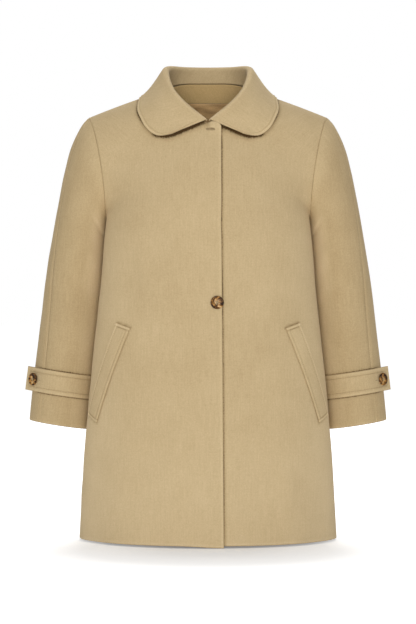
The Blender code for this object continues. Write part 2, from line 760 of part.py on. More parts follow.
def wall_object(name, grids, slot, collection, side=1, keep=None, halves=False):
    """Closed wall between an outer and an inner grid. halves mirrors it in the centre plane."""
    outer, inner = grids
    keep = np.ones(outer.shape[:2], bool) if keep is None else keep
    corners = np.concatenate((outer.reshape(-1, 3), inner.reshape(-1, 3))) * (side, 1, 1)
    count = keep.size
    top = grid_faces(keep)
    faces = top + [[corner + count for corner in reversed(face)] for face in top]
    for a, b in sorted(rim_edges(top)):
        if not (halves and abs(corners[a][0]) < TINY and abs(corners[b][0]) < TINY):
            faces.append([b, a, a + count, b + count])
    mesh = bpy.data.meshes.new(name)
    mesh.from_pydata(corners.tolist(), [], faces)
    tidy = bmesh.new()
    tidy.from_mesh(mesh)
    bmesh.ops.delete(tidy, geom=[v for v in tidy.verts if not v.link_faces], context="VERTS")
    bmesh.ops.recalc_face_normals(tidy, faces=tidy.faces)
    tidy.to_mesh(mesh)
    tidy.free()
    mesh.shade_smooth()
    mesh.set_sharp_from_angle(angle=SHARP_ANGLE)
    thing = add_object(name, mesh, slot, collection)
    if halves:
        mirror = thing.modifiers.new("Mirror", "MIRROR")
        mirror.merge_threshold = MERGE
    return thing


def button_cutter(cutters):
    """Four thread holes through a button."""
    holes = bmesh.new()
    for x in (-HOLE_SPREAD, HOLE_SPREAD):
        for y in (-HOLE_SPREAD, HOLE_SPREAD):
            made = bmesh.ops.create_cone(holes, cap_ends=True, segments=HOLE_SIDES, radius1=HOLE_RADIUS,
                                         radius2=HOLE_RADIUS, depth=4 * BUTTON_HEIGHT)
            bmesh.ops.translate(holes, verts=made["verts"], vec=(x, y, 0.0))
    mesh = bpy.data.meshes.new("button_holes")
    holes.to_mesh(mesh)
    holes.free()
    cutter = bpy.data.objects.new("button_holes", mesh)
    cutters.objects.link(cutter)
    cutter.hide_render = True
    cutter.display_type = "WIRE"
    return cutter


def button_object(name, place, side, cutter, collection, cutters):
    """Turned button with a raised rim, a dished face and four holes."""
    seat, axis = place
    profile = points(BUTTON_RADIUS * BUTTON_SECTION["radius"], 0.0, BUTTON_HEIGHT * BUTTON_SECTION["height"])
    mesh = bpy.data.meshes.new(name)
    mesh.from_pydata(profile.tolist(), [(i, i + 1) for i in range(len(profile) - 1)], [])
    thing = add_object(name, mesh, BUTTON, collection)
    thing.location = Vector(seat) * Vector((side, 1, 1))
    thing.rotation_euler = (Vector(axis) * Vector((side, 1, 1))).to_track_quat("Z", "Y").to_euler()
    screw = thing.modifiers.new("Turn", "SCREW")
    screw.steps = screw.render_steps = BUTTON_SIDES
    screw.use_merge_vertices = True
    screw.merge_threshold = MERGE
    screw.use_normal_calculate = True
    own = cutter.copy()
    own.name = name + "_holes"
    own.location, own.rotation_euler = thing.location, thing.rotation_euler
    cutters.objects.link(own)
    holes = thing.modifiers.new("Holes", "BOOLEAN")
    holes.operation = "DIFFERENCE"
    holes.solver = "EXACT"
    holes.object = own
    return thing


def build():
    clear_scene()
    parts = new_collection("overcoat")
    cutters = new_collection("cutters")
    for name, side, lift in (("front_right", RIGHT, 1), ("front_left", LEFT, -1)):
        outer, inner, keep = front_grid(lift)
        wall_object(name, (outer, inner), CLOTH, parts, side, keep)
    wall_object("back", back_grid(), CLOTH, parts, halves=True)
    wall_object("collar", collar_grid(), CLOTH, parts, halves=True)
    wall_object("back_neck_facing", facing_grid(), CLOTH, parts, halves=True)
    wall_object("back_lining", lining_grid(), LINING, parts, halves=True)
    cutter = button_cutter(cutters)
    for word, side in (("right", RIGHT), ("left", LEFT)):
        wall_object("sleeve_front_" + word, sleeve_grid(FRONT), CLOTH, parts, side)
        wall_object("sleeve_back_" + word, sleeve_grid(BACK), CLOTH, parts, side)
        wall_object("pocket_welt_" + word, welt_grid(), CLOTH, parts, side)
        wall_object("cuff_tab_" + word, tab_grid(), CLOTH, parts, side)
        button_object("button_cuff_" + word, tab_button_place(), side, cutter, parts, cutters)
    button_object("button_front", front_button_place(), LEFT, cutter, parts, cutters)


build()
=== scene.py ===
import math

import bmesh
import bpy
import numpy as np
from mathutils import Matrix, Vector
from mathutils.bvhtree import BVHTree


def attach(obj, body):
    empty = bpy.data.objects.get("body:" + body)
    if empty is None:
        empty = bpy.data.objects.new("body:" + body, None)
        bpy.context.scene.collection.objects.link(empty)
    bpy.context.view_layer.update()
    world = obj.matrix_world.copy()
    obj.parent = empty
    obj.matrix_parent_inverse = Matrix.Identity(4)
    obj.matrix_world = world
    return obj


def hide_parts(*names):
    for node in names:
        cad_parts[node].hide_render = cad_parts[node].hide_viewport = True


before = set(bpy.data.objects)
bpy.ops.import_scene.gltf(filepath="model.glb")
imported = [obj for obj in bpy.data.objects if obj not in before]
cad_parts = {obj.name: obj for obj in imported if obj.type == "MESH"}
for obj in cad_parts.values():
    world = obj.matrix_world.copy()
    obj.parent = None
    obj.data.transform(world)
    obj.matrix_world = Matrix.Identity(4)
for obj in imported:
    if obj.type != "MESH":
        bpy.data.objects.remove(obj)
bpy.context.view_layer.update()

frontFace, backFace = -1, 1
rightSide, leftSide = -1, 1  # the wearer's sides
bothSides = (("right", rightSide), ("left", leftSide))
mirrorX = np.array((-1, 1, 1))
tiny = 1e-9
leastRun = 1e-6  # keeps powers of a distance finite at an edge
weldGap, fineWeldGap = 2e-6, 1e-7
stepSize = 1e-4  # parameter step for the normals

cloth = dict(
    wall=0.0022, doubleWall=0.0028, facingWall=0.0015, liningWall=0.0010,
    restGap=0.0004, insideGap=0.0015,
    foldRoll=0.0024,   # radius of a folded edge
    seamRoll=0.0015,   # how far a sewn edge rolls into its seam
    mitre=0.010,       # width over which normals turn towards a seam
    bodyFeel=0.0006, sleeveFeel=0.0005)  # height of the slow unevenness


def columns(names, *rows):  # named columns out of rows of numbers
    return {name: np.array(column, float) for name, column in zip(names, zip(*rows))}


def curveThrough(table, name, at):  # cubic Hermite through one column, over the table's first column
    steps, values = next(iter(table.values())), table[name]
    slopes = np.gradient(values, steps)
    low = np.clip(np.searchsorted(steps, at) - 1, 0, len(steps) - 2)
    gap = steps[low + 1] - steps[low]
    w = (at - steps[low]) / gap
    return ((2 * w**3 - 3 * w**2 + 1) * values[low] + (w**3 - 2 * w**2 + w) * gap * slopes[low]
            + (3 * w**2 - 2 * w**3) * values[low + 1] + (w**3 - w**2) * gap * slopes[low + 1])


def unit(v):  # vectors over their own lengths
    return v / np.linalg.norm(v, axis=-1, keepdims=True)


def dot(a, b):  # sums of products, with a last axis of one
    return np.sum(a * b, axis=-1, keepdims=True)


def ease(w):  # smooth step 3w^2 - 2w^3 from 0 to 1
    w = np.clip(w, 0.0, 1.0)
    return w * w * (3 - 2 * w)


def points3(x, y, z):  # points out of three arrays
    return np.stack(np.broadcast_arrays(x, y, z), axis=-1)


# body of the coat: level oval sections below the underarm, rows to the armhole above it
bodyCut = dict(
    length=0.778, underarm=-0.228, sideSeamY=0.006, shoulderX=0.2095, shoulderZ=-0.0455,
    shoulderCurve=1.05, shoulderArc=math.radians(30), armholeHalfDepth=0.066,
    neckHalfWidth=0.076, sideNeckY=0.002, sideNeckZ=0.003, neckFrontZ=-0.0615, neckBackZ=0.017,
    frontNeckShare=0.52, backNeckShare=0.25, yokeStart=1.5)

centreLines = columns(
    ("height", "front", "back"),
    (-0.778, -0.1700, 0.1650), (-0.580, -0.1610, 0.1440), (-0.380, -0.1520, 0.1260),
    (-0.228, -0.1415, 0.1160), (-0.150, -0.1260, 0.1100), (-0.062, -0.0915, 0.0960),
    (-0.020, -0.0740, 0.0815), (0.017, -0.0600, 0.0620))

girth = columns(
    ("height", "halfWidth", "widest", "corner"),
    (-0.778, 0.2215, -0.015, 2.1), (-0.680, 0.2165, -0.020, 2.1), (-0.580, 0.2100, -0.026, 2.1),
    (-0.480, 0.2010, -0.032, 2.1), (-0.380, 0.1905, -0.036, 2.2), (-0.290, 0.1815, -0.039, 2.4),
    (-0.228, 0.1775, -0.040, 2.6))

armholeShape = columns(
    ("turn", "x"),
    (-30, 0.2030), (0, 0.2095), (30, 0.2020), (60, 0.1925), (90, 0.1840), (115, 0.1795),
    (135, 0.1780), (155, 0.1772), (180, 0.1745), (205, 0.1715), (230, 0.1720), (250, 0.1765),
    (270, 0.1835), (300, 0.1940), (330, 0.2030), (360, 0.2095), (390, 0.2020))

flutes = columns(
    ("turn", "spread", "depth", "start"),
    (60, 13, -0.0030, -0.36), (87, 12, 0.0025, -0.42), (116, 13, -0.0045, -0.34),
    (146, 14, 0.0050, -0.38), (180, 13, -0.0040, -0.40))

armholeTopX = float(curveThrough(armholeShape, "x", 0))
armholeFootX = float(curveThrough(armholeShape, "x", 180))


def oval(turn, power):  # superellipse shares, across and deep, at a turn from the centre back
    c, s = np.cos(turn), np.sin(turn)
    return np.sign(s) * np.abs(s) ** (2 / power), np.sign(c) * np.abs(c) ** (2 / power)


def seamTurn(height):  # turn of the side seam on the oval section at a height
    widest = curveThrough(girth, "widest", height)
    depth = curveThrough(centreLines, "back", height) - widest
    return np.arccos(((bodyCut["sideSeamY"] - widest) / depth) ** (curveThrough(girth, "corner", height) / 2))


def ringAt(turn, over, under, midY, halfDepth, armholeShare):
    # slanted oval from the overarm (0) by the front (quarter turn) to the underarm (half turn)
    c = np.cos(turn)
    own = curveThrough(armholeShape, "x", np.degrees(turn))
    own = own - (armholeTopX + armholeFootX) / 2 - (armholeTopX - armholeFootX) / 2 * c
    x = (over[0] + under[0]) / 2 + (over[0] - under[0]) / 2 * c + armholeShare * own
    z = (over[1] + under[1]) / 2 + (over[1] - under[1]) / 2 * c
    return points3(x, midY - halfDepth * np.sin(turn), z)


def armholeAt(turn):  # oval ring from the shoulder point down to the underarm
    return ringAt(turn, (bodyCut["shoulderX"], bodyCut["shoulderZ"]), (armholeFootX, bodyCut["underarm"]),
                  bodyCut["sideSeamY"], bodyCut["armholeHalfDepth"], 1.0)


def neckSeam(share, face):  # neck seam of one face, from its centre line (0) to the side neck point (1)
    c = np.cos(math.pi / 2 * share)
    isFront = face == frontFace
    height = bodyCut["neckFrontZ"] if isFront else bodyCut["neckBackZ"]
    centreY = curveThrough(centreLines, "front" if isFront else "back", height)
    across = share if isFront else np.sin(math.pi / 2 * share)
    fall = 1 - share if isFront else 1 - across**4
    return points3(bodyCut["neckHalfWidth"] * across,
                   bodyCut["sideNeckY"] + (centreY - bodyCut["sideNeckY"]) * c,
                   bodyCut["sideNeckZ"] + (height - bodyCut["sideNeckZ"]) * fall)


def rowHeight(t):  # level rows, those above the underarm keep its height
    return -bodyCut["length"] + (bodyCut["underarm"] + bodyCut["length"]) * np.minimum(t, 1.0)


def rowEnds(t, face):  # centre and side ends of a row and the turn between them
    isFront = face == frontFace
    neckZ = bodyCut["neckFrontZ" if isFront else "neckBackZ"]
    share = bodyCut["frontNeckShare"] if isFront else 1.0
    z = rowHeight(t)
    rise = np.maximum(t - 1.0, 0.0)
    seam = seamTurn(z)
    across, _ = oval(seam, curveThrough(girth, "corner", z))
    side = points3(curveThrough(girth, "halfWidth", z) * across, bodyCut["sideSeamY"], z)
    side = np.where((t <= 1.0)[..., None], side, armholeAt(math.pi * (1 + face * rise)))
    underarm = bodyCut["underarm"]
    centreZ = np.where(t <= 1.0, z, underarm + (neckZ - underarm) * np.minimum(rise / share, 1))
    centre = points3(0.0, curveThrough(centreLines, "front" if isFront else "back", centreZ), centreZ)
    if isFront:
        neck = neckSeam(np.maximum(rise - share, 0) / (1 - share), frontFace)
        centre = np.where((rise <= share)[..., None], centre, neck)
    end = math.pi - seam if isFront else seam
    return centre, side, end + (bodyCut["shoulderArc"] - end) * np.sin(math.pi / 2 * rise)


def arcShare(turn, t, face):
    # across and depth shares of an oval section; past its widest line the front follows the back's oval
    z = rowHeight(t)
    power = curveThrough(girth, "corner", z)
    if face == backFace:
        return oval(turn, power)
    widest = curveThrough(girth, "widest", z)
    ratio = (curveThrough(centreLines, "back", z) - widest) / (widest - curveThrough(centreLines, "front", z))
    across, depth = oval(math.pi - turn, power)
    past = np.cos(turn) < 0
    return np.where(past, across, np.sin(turn)), np.where(past, -ratio * depth, np.cos(turn))


def fluteDepth(turn, height):  # sum of Gaussian ridges round the skirt, fading in towards the hem
    total = np.zeros(np.broadcast(turn, height).shape)
    for middle, spread, depth, start in zip(*flutes.values()):
        fade = ease((start - height) / (start + bodyCut["length"]))
        total = total + depth * fade * np.exp(-((turn - math.radians(middle)) / math.radians(spread)) ** 2)
    return total


def bodyRows(s, t, face):  # arcs from the centre line or front neck to the side seam or armhole
    centre, side, end = rowEnds(t, face)
    turn = s * end
    across, depth = arcShare(turn, t, face)
    acrossEnd, depthEnd = arcShare(end, t, face)
    across, depth = across / acrossEnd, (depth - depthEnd) / (1 - depthEnd)
    power = 2 + (bodyCut["shoulderCurve"] - 2) * np.clip(t - 1, 0, 1)
    x = centre[..., 0] + (side[..., 0] - centre[..., 0]) * across
    y = side[..., 1] + (centre[..., 1] - side[..., 1]) * depth
    z = centre[..., 2] + (side[..., 2] - centre[..., 2]) * np.abs(s) ** power
    out = fluteDepth(turn if face == frontFace else math.pi - turn, z)
    return points3(x + out * np.sin(turn), y + face * out * np.cos(turn), z)


def shoulderShare(s):  # share along the shoulder seam, below 0 on the neck seam
    return (s - bodyCut["backNeckShare"]) / (1 - bodyCut["backNeckShare"])


def backTop(s):  # top edge of the back: neck seam, then the shoulder seam of the front
    neck = neckSeam(np.minimum(s / bodyCut["backNeckShare"], 1), backFace)
    seam = bodyRows(np.maximum(shoulderShare(s), 0), np.full_like(s, 2.0), frontFace)
    return np.where((s < bodyCut["backNeckShare"])[..., None], neck, seam)


def halfBody(s, t, face):
    # outer face at +X: s from the centre line (0) to the side (1),
    # t from the hem (0) by the underarm (1) to the shoulder (2)
    s, t = np.broadcast_arrays(np.asarray(s, float), np.asarray(t, float))
    if face == frontFace:
        return bodyRows(s, t, frontFace)
    w = np.clip((t - bodyCut["yokeStart"]) / (2 - bodyCut["yokeStart"]), 0, 1)
    bend = 1 - np.sqrt(1 - w * w)
    top = backTop(np.abs(s)) * np.where(s < 0, -1, 1)[..., None] ** np.array([1, 0, 0])
    return bodyRows(s, t, backFace) + bend[..., None] * (top - bodyRows(s, np.full_like(t, 2.0), backFace))


sleeveRings = columns(
    ("station", "overX", "overZ", "underX", "underZ", "midY", "halfDepth", "armhole"),
    (0.000, 0.2095, -0.0455, 0.1745, -0.2280, 0.0060, 0.0660, 1.00),
    (0.022, 0.2180, -0.0545, 0.1750, -0.2300, 0.0065, 0.0662, 0.85),
    (0.057, 0.2280, -0.0705, 0.1755, -0.2330, 0.0075, 0.0666, 0.65),
    (0.113, 0.2400, -0.0980, 0.1760, -0.2370, 0.0095, 0.0670, 0.45),
    (0.185, 0.2502, -0.1350, 0.1768, -0.2430, 0.0125, 0.0670, 0.22),
    (0.277, 0.2605, -0.1840, 0.1778, -0.2520, 0.0160, 0.0662, 0.07),
    (0.380, 0.2710, -0.2395, 0.1790, -0.2690, 0.0200, 0.0650, 0.00),
    (0.512, 0.2830, -0.3100, 0.1825, -0.3260, 0.0240, 0.0628, 0.00),
    (0.660, 0.2933, -0.3900, 0.1885, -0.4055, 0.0280, 0.0600, 0.00),
    (0.800, 0.3027, -0.4655, 0.1965, -0.4815, 0.0310, 0.0575, 0.00),
    (0.911, 0.3100, -0.5260, 0.2035, -0.5420, 0.0330, 0.0555, 0.00),
    (1.000, 0.3150, -0.5746, 0.2090, -0.5910, 0.0340, 0.0545, 0.00))


def sleeveAt(turn, t):  # outer face of the +X sleeve, t from the armhole (0) to the cuff (1)
    turn, t = np.broadcast_arrays(np.asarray(turn, float), np.asarray(t, float))
    col = {name: curveThrough(sleeveRings, name, t) for name in sleeveRings}
    return ringAt(turn, (col["overX"], col["overZ"]), (col["underX"], col["underZ"]), col["midY"],
                  col["halfDepth"], col["armhole"])


def normalsOf(surface, u, v, sign=1.0):  # cross product of the two central differences
    alongU = surface(u + stepSize, v) - surface(u - stepSize, v)
    alongV = surface(u, v + stepSize) - surface(u, v - stepSize)
    return sign * unit(np.cross(alongU, alongV))


def bodyNormals(s, t, face):  # outward normals of one face of the body
    t = np.minimum(t, 2 - 2 * stepSize) if face == backFace else t
    return normalsOf(lambda a, b: halfBody(a, b, face), s, t, -face)


def sideNormals(t):  # mean of the two faces' normals on the side seam
    one = np.ones_like(t)
    return unit(bodyNormals(one, t, frontFace) + bodyNormals(one, t, backFace))


def shoulderNormals(share):  # mean of the two faces' normals on the shoulder seam
    top = np.full_like(share, 2.0)
    across = bodyCut["backNeckShare"] + (1 - bodyCut["backNeckShare"]) * share
    return unit(bodyNormals(share, top, frontFace) + bodyNormals(across, top, backFace))


def armholeNormals(t, face):  # mean of the body's and the sleeve's normals on the armhole
    one = np.ones_like(t)
    body = bodyNormals(one, t, face)
    body = np.where((np.abs(t - 1) < tiny)[:, None], sideNormals(t), body)
    body = np.where((np.abs(t - 2) < tiny)[:, None], shoulderNormals(one), body)
    arm = normalsOf(sleeveAt, math.pi * (1 + face * (t - 1)), np.full_like(t, 2e-3))
    return unit(body + arm)


def edgeNormals(rows, face):  # normals of the side seam up to the underarm, then of the armhole
    below, above = rows <= 1.0, rows >= 1.0
    target = np.empty((len(rows), 3))
    target[below] = sideNormals(rows[below])
    target[above] = armholeNormals(rows[above], face)
    return target


def runLength(grid, axis):  # running length along one direction of a grid
    step = np.linalg.norm(np.diff(grid, axis=axis), axis=-1)
    zero = np.zeros_like(np.take(step, [0], axis=axis))
    return np.concatenate((zero, np.cumsum(step, axis=axis)), axis=axis)


def fromEdge(grid, edge):  # distance from one edge, measured along the grid
    axis = 1 if edge in ("left", "right") else 0
    run = runLength(grid, axis)
    return np.take(run, [-1], axis=axis) - run if edge in ("right", "top") else run


def leastOf(runs, power):  # smooth least of several distances: (sum of d^-power)^(-1/power)
    return sum(np.maximum(run, leastRun) ** -power for run in runs) ** (-1 / power)


def rolled(grid, **radii):  # wall share sqrt(1 - (1 - d/r)^2) at a distance d from each named edge
    share = np.ones(grid.shape[:2])
    for edge, radius in radii.items():
        d = np.minimum(fromEdge(grid, edge) / radius, 1)
        share = np.minimum(share, np.sqrt(np.clip(1 - (1 - d) ** 2, 0, 1)))
    return share


def towards(n, target, distance):  # turn normals to a seam's own over the mitre width
    w = ease(1 - distance / cloth["mitre"])[..., None]
    return unit(n * (1 - w) + target * w)


rollSteps = np.array((0.0, 0.06, 0.2, 0.42, 0.7, 1.05, 1.6, 2.6))  # shares of the roll, close at an edge


def spread(width, count, startAt=(), endAt=()):
    # shares 0 to 1 over a width in metres: close at both ends and at the given distances from them
    edge = rollSteps * cloth["foldRoll"] / width
    inner = np.linspace(edge[-1], 1 - edge[-1], count)
    extra = np.concatenate((np.array(startAt) / width, 1 - np.array(endAt) / width))
    return np.unique(np.round(np.concatenate((edge, inner, 1 - edge, extra)), 7))


creaseGain = 1.7   # body creases are this much deeper than listed
creaseFade = 0.35  # share of its line over which a crease fades at each end
feelWaves = (0.055, 0.083, 0.118, 0.171)  # lengths of the slow waves in brushed cloth


def creaseField(across, down, creases):
    # sum of depth * exp(-(offset / width)^2), each faded smoothly to nothing at the ends of its line
    total = np.zeros(across.shape)
    for a0, d0, a1, d1, width, depth in creases:
        length = math.hypot(a1 - a0, d1 - d0)
        ua, ud = (a1 - a0) / length, (d1 - d0) / length
        run = ((across - a0) * ua + (down - d0) * ud) / length
        off = (across - a0) * ud - (down - d0) * ua
        total += depth * np.exp(-(off / width) ** 2) * ease(run / creaseFade) * ease((1 - run) / creaseFade)
    return total


def handFeel(across, down, height, seed):  # slow unevenness of brushed cloth: crossed waves
    draw = np.random.default_rng(seed)
    total = np.zeros(across.shape)
    for wave in feelWaves:
        turn, shift = draw.uniform(0, 2 * math.pi, 2)
        total += np.sin((across * math.cos(turn) + down * math.sin(turn)) * 2 * math.pi / wave + shift)
    return height * total / len(feelWaves)


def stitchGroove(distance, at, depth=0.0005, width=0.0011):
    # sewn line: Gaussian trough at a distance from an edge
    return -depth * np.exp(-((distance - at) / width) ** 2)


# painted highlight band inside folded edges, painted shade at the rim and in seams
paintedEdge = dict(band=0.0028, bandWidth=0.0020, highlightGain=0.10, rimWidth=0.0008, rimShade=0.30,
               seamWidth=0.0016, seamShade=0.10,
               shadowTone=-0.45)  # tone of the painted shadow where another piece's edge lies on this one


def paintedFoldShading(distance):  # painted light on a folded edge: a painted highlight band a little inside, a narrow painted shade at the rim
    band = paintedEdge["highlightGain"] * np.exp(-((distance - paintedEdge["band"]) / paintedEdge["bandWidth"]) ** 2)
    return band - paintedEdge["rimShade"] * np.exp(-(distance / paintedEdge["rimWidth"]) ** 2)


def paintedEdgeShading(grid, folds=(), seams=()):  # painted highlights along folded edges and painted shade in seams
    total = np.zeros(grid.shape[:2])
    for edge in folds:
        total += paintedFoldShading(fromEdge(grid, edge))
    for edge in seams:
        total -= paintedEdge["seamShade"] * np.exp(-(fromEdge(grid, edge) / paintedEdge["seamWidth"]) ** 2)
    return total


def bothHalves(grid):  # mirror a half grid in the centre plane, its first column on it
    return np.concatenate((grid[:, :0:-1] * mirrorX, grid), axis=1)


def gridFaces(number):  # quads over a grid of vertex numbers
    return np.stack((number[:-1, :-1], number[:-1, 1:], number[1:, 1:], number[1:, :-1]), -1).reshape(-1, 4)


def ringFaces(number):  # quads between rows of vertex numbers that close on themselves
    nextOne = np.roll(number, -1, axis=1)
    return np.stack((number[:-1], nextOne[:-1], nextOne[1:], number[1:]), -1).reshape(-1, 4)


def weld(mesh, distance, faceOut=False):  # merge doubles, then turn the faces outwards if asked
    welded = bmesh.new()
    welded.from_mesh(mesh)
    bmesh.ops.remove_doubles(welded, verts=welded.verts, dist=distance)
    if faceOut:
        bmesh.ops.recalc_face_normals(welded, faces=welded.faces)
    welded.to_mesh(mesh)
    welded.free()


def shellMesh(name, middle, normal, half, paintedShading, side=1):
    # closed shell: middle plus and minus half the wall along the normal, joined where the wall runs out
    flip = np.array((side, 1, 1))
    outer = (middle + half[..., None] * normal) * flip
    inner = (middle - half[..., None] * normal) * flip
    rows, cols = half.shape
    quads = gridFaces(np.arange(rows * cols).reshape(rows, cols))
    corner = (middle * flip).reshape(-1, 3)
    facing = np.cross(corner[quads[:, 2]] - corner[quads[:, 0]], corner[quads[:, 3]] - corner[quads[:, 1]])
    if np.sum(facing * (normal * flip).reshape(-1, 3)[quads[:, 0]]) < 0:
        quads = quads[:, ::-1]
    corners = np.concatenate((outer.reshape(-1, 3), inner.reshape(-1, 3)))
    faces = np.concatenate((quads, quads[:, ::-1] + rows * cols))
    mesh = bpy.data.meshes.new(name)
    mesh.from_pydata(corners.tolist(), [], faces.tolist())
    down = np.broadcast_to(runLength(middle[:, [cols // 2]], 0), (rows, cols))
    grain = np.stack((runLength(middle, 1), down), -1).reshape(-1, 2)
    layer = mesh.uv_layers.new(name="grain")
    layer.data.foreach_set("uv", np.tile(grain, (2, 1))[faces.reshape(-1)].astype(np.float32).ravel())
    # painted light and shade of each vertex, stored as a point attribute
    tone = mesh.attributes.new("paintedShading", "FLOAT", "POINT")
    tone.data.foreach_set("value", np.tile(paintedShading.ravel(), 2).astype(np.float32))
    weld(mesh, weldGap)
    mesh.shade_smooth()
    return mesh


def paintShadow(piece, line, share, width, depth=paintedEdge["shadowTone"]):
    # painted shadow where another piece's edge lies: blended to a dark tone by a Gaussian of the distance to
    # its line
    mesh = piece.data
    corner = np.empty(len(mesh.vertices) * 3, np.float32)
    tone = np.empty(len(mesh.vertices), np.float32)
    mesh.vertices.foreach_get("co", corner)
    mesh.attributes["paintedShading"].data.foreach_get("value", tone)
    corner = corner.reshape(-1, 3)
    reach = 3 * width
    inside = (corner > line.min(0) - reach) & (corner < line.max(0) + reach)
    near = np.flatnonzero(np.all(inside, axis=1))
    for group in np.array_split(near, max(len(near) // 4000, 1)):  # a few thousand points at a time
        gap = np.linalg.norm(corner[group][:, None] - line[None], axis=2).min(axis=1)
        tone[group] += (depth - tone[group]) * share * np.exp(-(gap / width) ** 2)
    mesh.attributes["paintedShading"].data.foreach_set("value", tone)


def place(name, mesh, finish, node=None):
    # put a finished mesh into the scene on the coat's one body
    piece = bpy.data.objects.new(name, mesh)
    bpy.context.scene.collection.objects.link(piece)
    mesh.materials.append(finish)
    if node:
        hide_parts(node)
    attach(piece, "root")
    return piece


# finishes
def addNode(tree, kind, **values):  # a node with some of its settings
    node = tree.nodes.new(kind)
    for key, value in values.items():
        setattr(node, key, value)
    return node


def setInputs(node, **values):  # values set directly on a node's sockets
    for key, value in values.items():
        node.inputs[key.replace("_", " ")].default_value = value
    return node


def newGroup(name, inputs, outputs):  # node group of plain numbers
    group = bpy.data.node_groups.new(name, "ShaderNodeTree")
    for word, value in inputs.items():
        group.interface.new_socket(word, in_out="INPUT", socket_type="NodeSocketFloat").default_value = value
    for word in outputs:
        group.interface.new_socket(word, in_out="OUTPUT", socket_type="NodeSocketFloat")
    return group, addNode(group, "NodeGroupInput"), addNode(group, "NodeGroupOutput")


def mathNode(tree, operation, a, b):  # a and b are sockets or numbers
    node = addNode(tree, "ShaderNodeMath", operation=operation)
    for socket, value in zip(node.inputs, (a, b)):
        if isinstance(value, (int, float)):
            socket.default_value = value
        else:
            tree.links.new(value, socket)
    return node.outputs[0]


def times(tree, a, b):
    return mathNode(tree, "MULTIPLY", a, b)


def plus(tree, total, *others):  # sum of two or more
    for other in others:
        total = mathNode(tree, "ADD", total, other)
    return total


def noise(tree, vector, scale, detail, roughness, distortion=0.0):
    node = setInputs(addNode(tree, "ShaderNodeTexNoise"), Scale=scale, Detail=detail, Roughness=roughness,
                     Distortion=distortion)
    tree.links.new(vector, node.inputs["Vector"])
    return node.outputs["Fac"]


def threadBands(tree, vector, pitch, direction, **values):  # wave texture with one band to a pitch
    node = addNode(tree, "ShaderNodeTexWave", wave_type="BANDS", bands_direction=direction)
    setInputs(node, Scale=math.tau / 20 / pitch, **values)
    tree.links.new(vector, node.inputs["Vector"])
    return node.outputs["Fac"]


def mapped(tree, vector, **values):
    node = setInputs(addNode(tree, "ShaderNodeMapping"), **values)
    tree.links.new(vector, node.inputs["Vector"])
    return node.outputs["Vector"]


napGroup = dict(fibreScale=1300.0, tuftScale=420.0, mottleScale=16.0, threadPitch=0.0013,
                slubWidth=0.0023, slubLength=0.038,
                tuftTone=0.44, mottleTone=0.20, downTone=0.22, acrossTone=0.08, weaveTone=0.10,
                fineHeight=0.5, weaveHeight=0.35)


def makeNapGroup():
    # nap height and tone: fine fibres, tufts, slow mottle and slubs both ways,
    # over two crossed sets of threads along the grain
    group, given, made = newGroup("woolNap", {"Fibre": 1.0, "Weave": 1.0}, ("Tone", "Height"))
    spot = addNode(group, "ShaderNodeTexCoord").outputs["Object"]
    grain = addNode(group, "ShaderNodeUVMap", uv_map="grain").outputs["UV"]
    fibre = noise(group, spot, napGroup["fibreScale"], 3.0, 0.6)
    tuft = noise(group, spot, napGroup["tuftScale"], 4.0, 0.65)
    mottle = noise(group, spot, napGroup["mottleScale"], 3.0, 0.55)
    warp, weft = (threadBands(group, grain, napGroup["threadPitch"], direction, Distortion=3.2, Detail=2.0,
                              Detail_Scale=1.4) for direction in ("X", "Y"))
    thin, long = 1 / napGroup["slubWidth"], 1 / napGroup["slubLength"]
    down, across = (noise(group, mapped(group, grain, Scale=scale), 1.0, 2.0, 0.6)
                    for scale in ((thin, long, 1.0), (long, thin, 1.0)))
    weave = times(group, times(group, warp, weft), given.outputs["Weave"])
    fine = times(group, plus(group, fibre, tuft), given.outputs["Fibre"])
    height = plus(group, times(group, fine, napGroup["fineHeight"]),
                  times(group, weave, napGroup["weaveHeight"]))
    layers = ((tuft, "tuftTone"), (mottle, "mottleTone"), (down, "downTone"), (across, "acrossTone"),
              (weave, "weaveTone"))
    tone = plus(group, *(times(group, layer, napGroup[share]) for layer, share in layers))
    group.links.new(height, made.inputs["Height"])
    group.links.new(tone, made.inputs["Tone"])
    return group


def newFinish(name):  # material, its nodes and its Principled shader
    finish = bpy.data.materials.new(name)
    finish.use_nodes = True
    return finish, finish.node_tree, finish.node_tree.nodes["Principled BSDF"]


def colourRamp(tree, value, stops):  # stops are positions with their colours
    ramp = addNode(tree, "ShaderNodeValToRGB")
    while len(ramp.color_ramp.elements) < len(stops):
        ramp.color_ramp.elements.new(0.5)
    for element, (at, colour) in zip(ramp.color_ramp.elements, stops):
        element.position, element.color = at, (*colour, 1.0)
    tree.links.new(value, ramp.inputs["Fac"])
    return ramp.outputs["Color"]


def bumpFrom(tree, shader, height, strength, distance):
    bump = setInputs(addNode(tree, "ShaderNodeBump"), Strength=strength, Distance=distance)
    tree.links.new(height, bump.inputs["Height"])
    tree.links.new(bump.outputs["Normal"], shader.inputs["Normal"])


# deep and groove are painted shade colours and edge a painted highlight colour, reached mostly through the
# painted shading
wool = dict(deep=(0.058, 0.030, 0.008), groove=(0.150, 0.100, 0.048), dim=(0.405, 0.292, 0.150),
            dark=(0.455, 0.335, 0.178), light=(0.600, 0.463, 0.268), edge=(0.690, 0.545, 0.335),
            roughness=0.93, sheen=0.15, sheenRoughness=0.45, sheenTint=(0.93, 0.81, 0.60, 1.0),
            bump=0.35, bumpDistance=0.0006)
napStops = dict(deep=0.0, groove=0.08, dim=0.24, dark=0.36, light=0.68, edge=0.92)


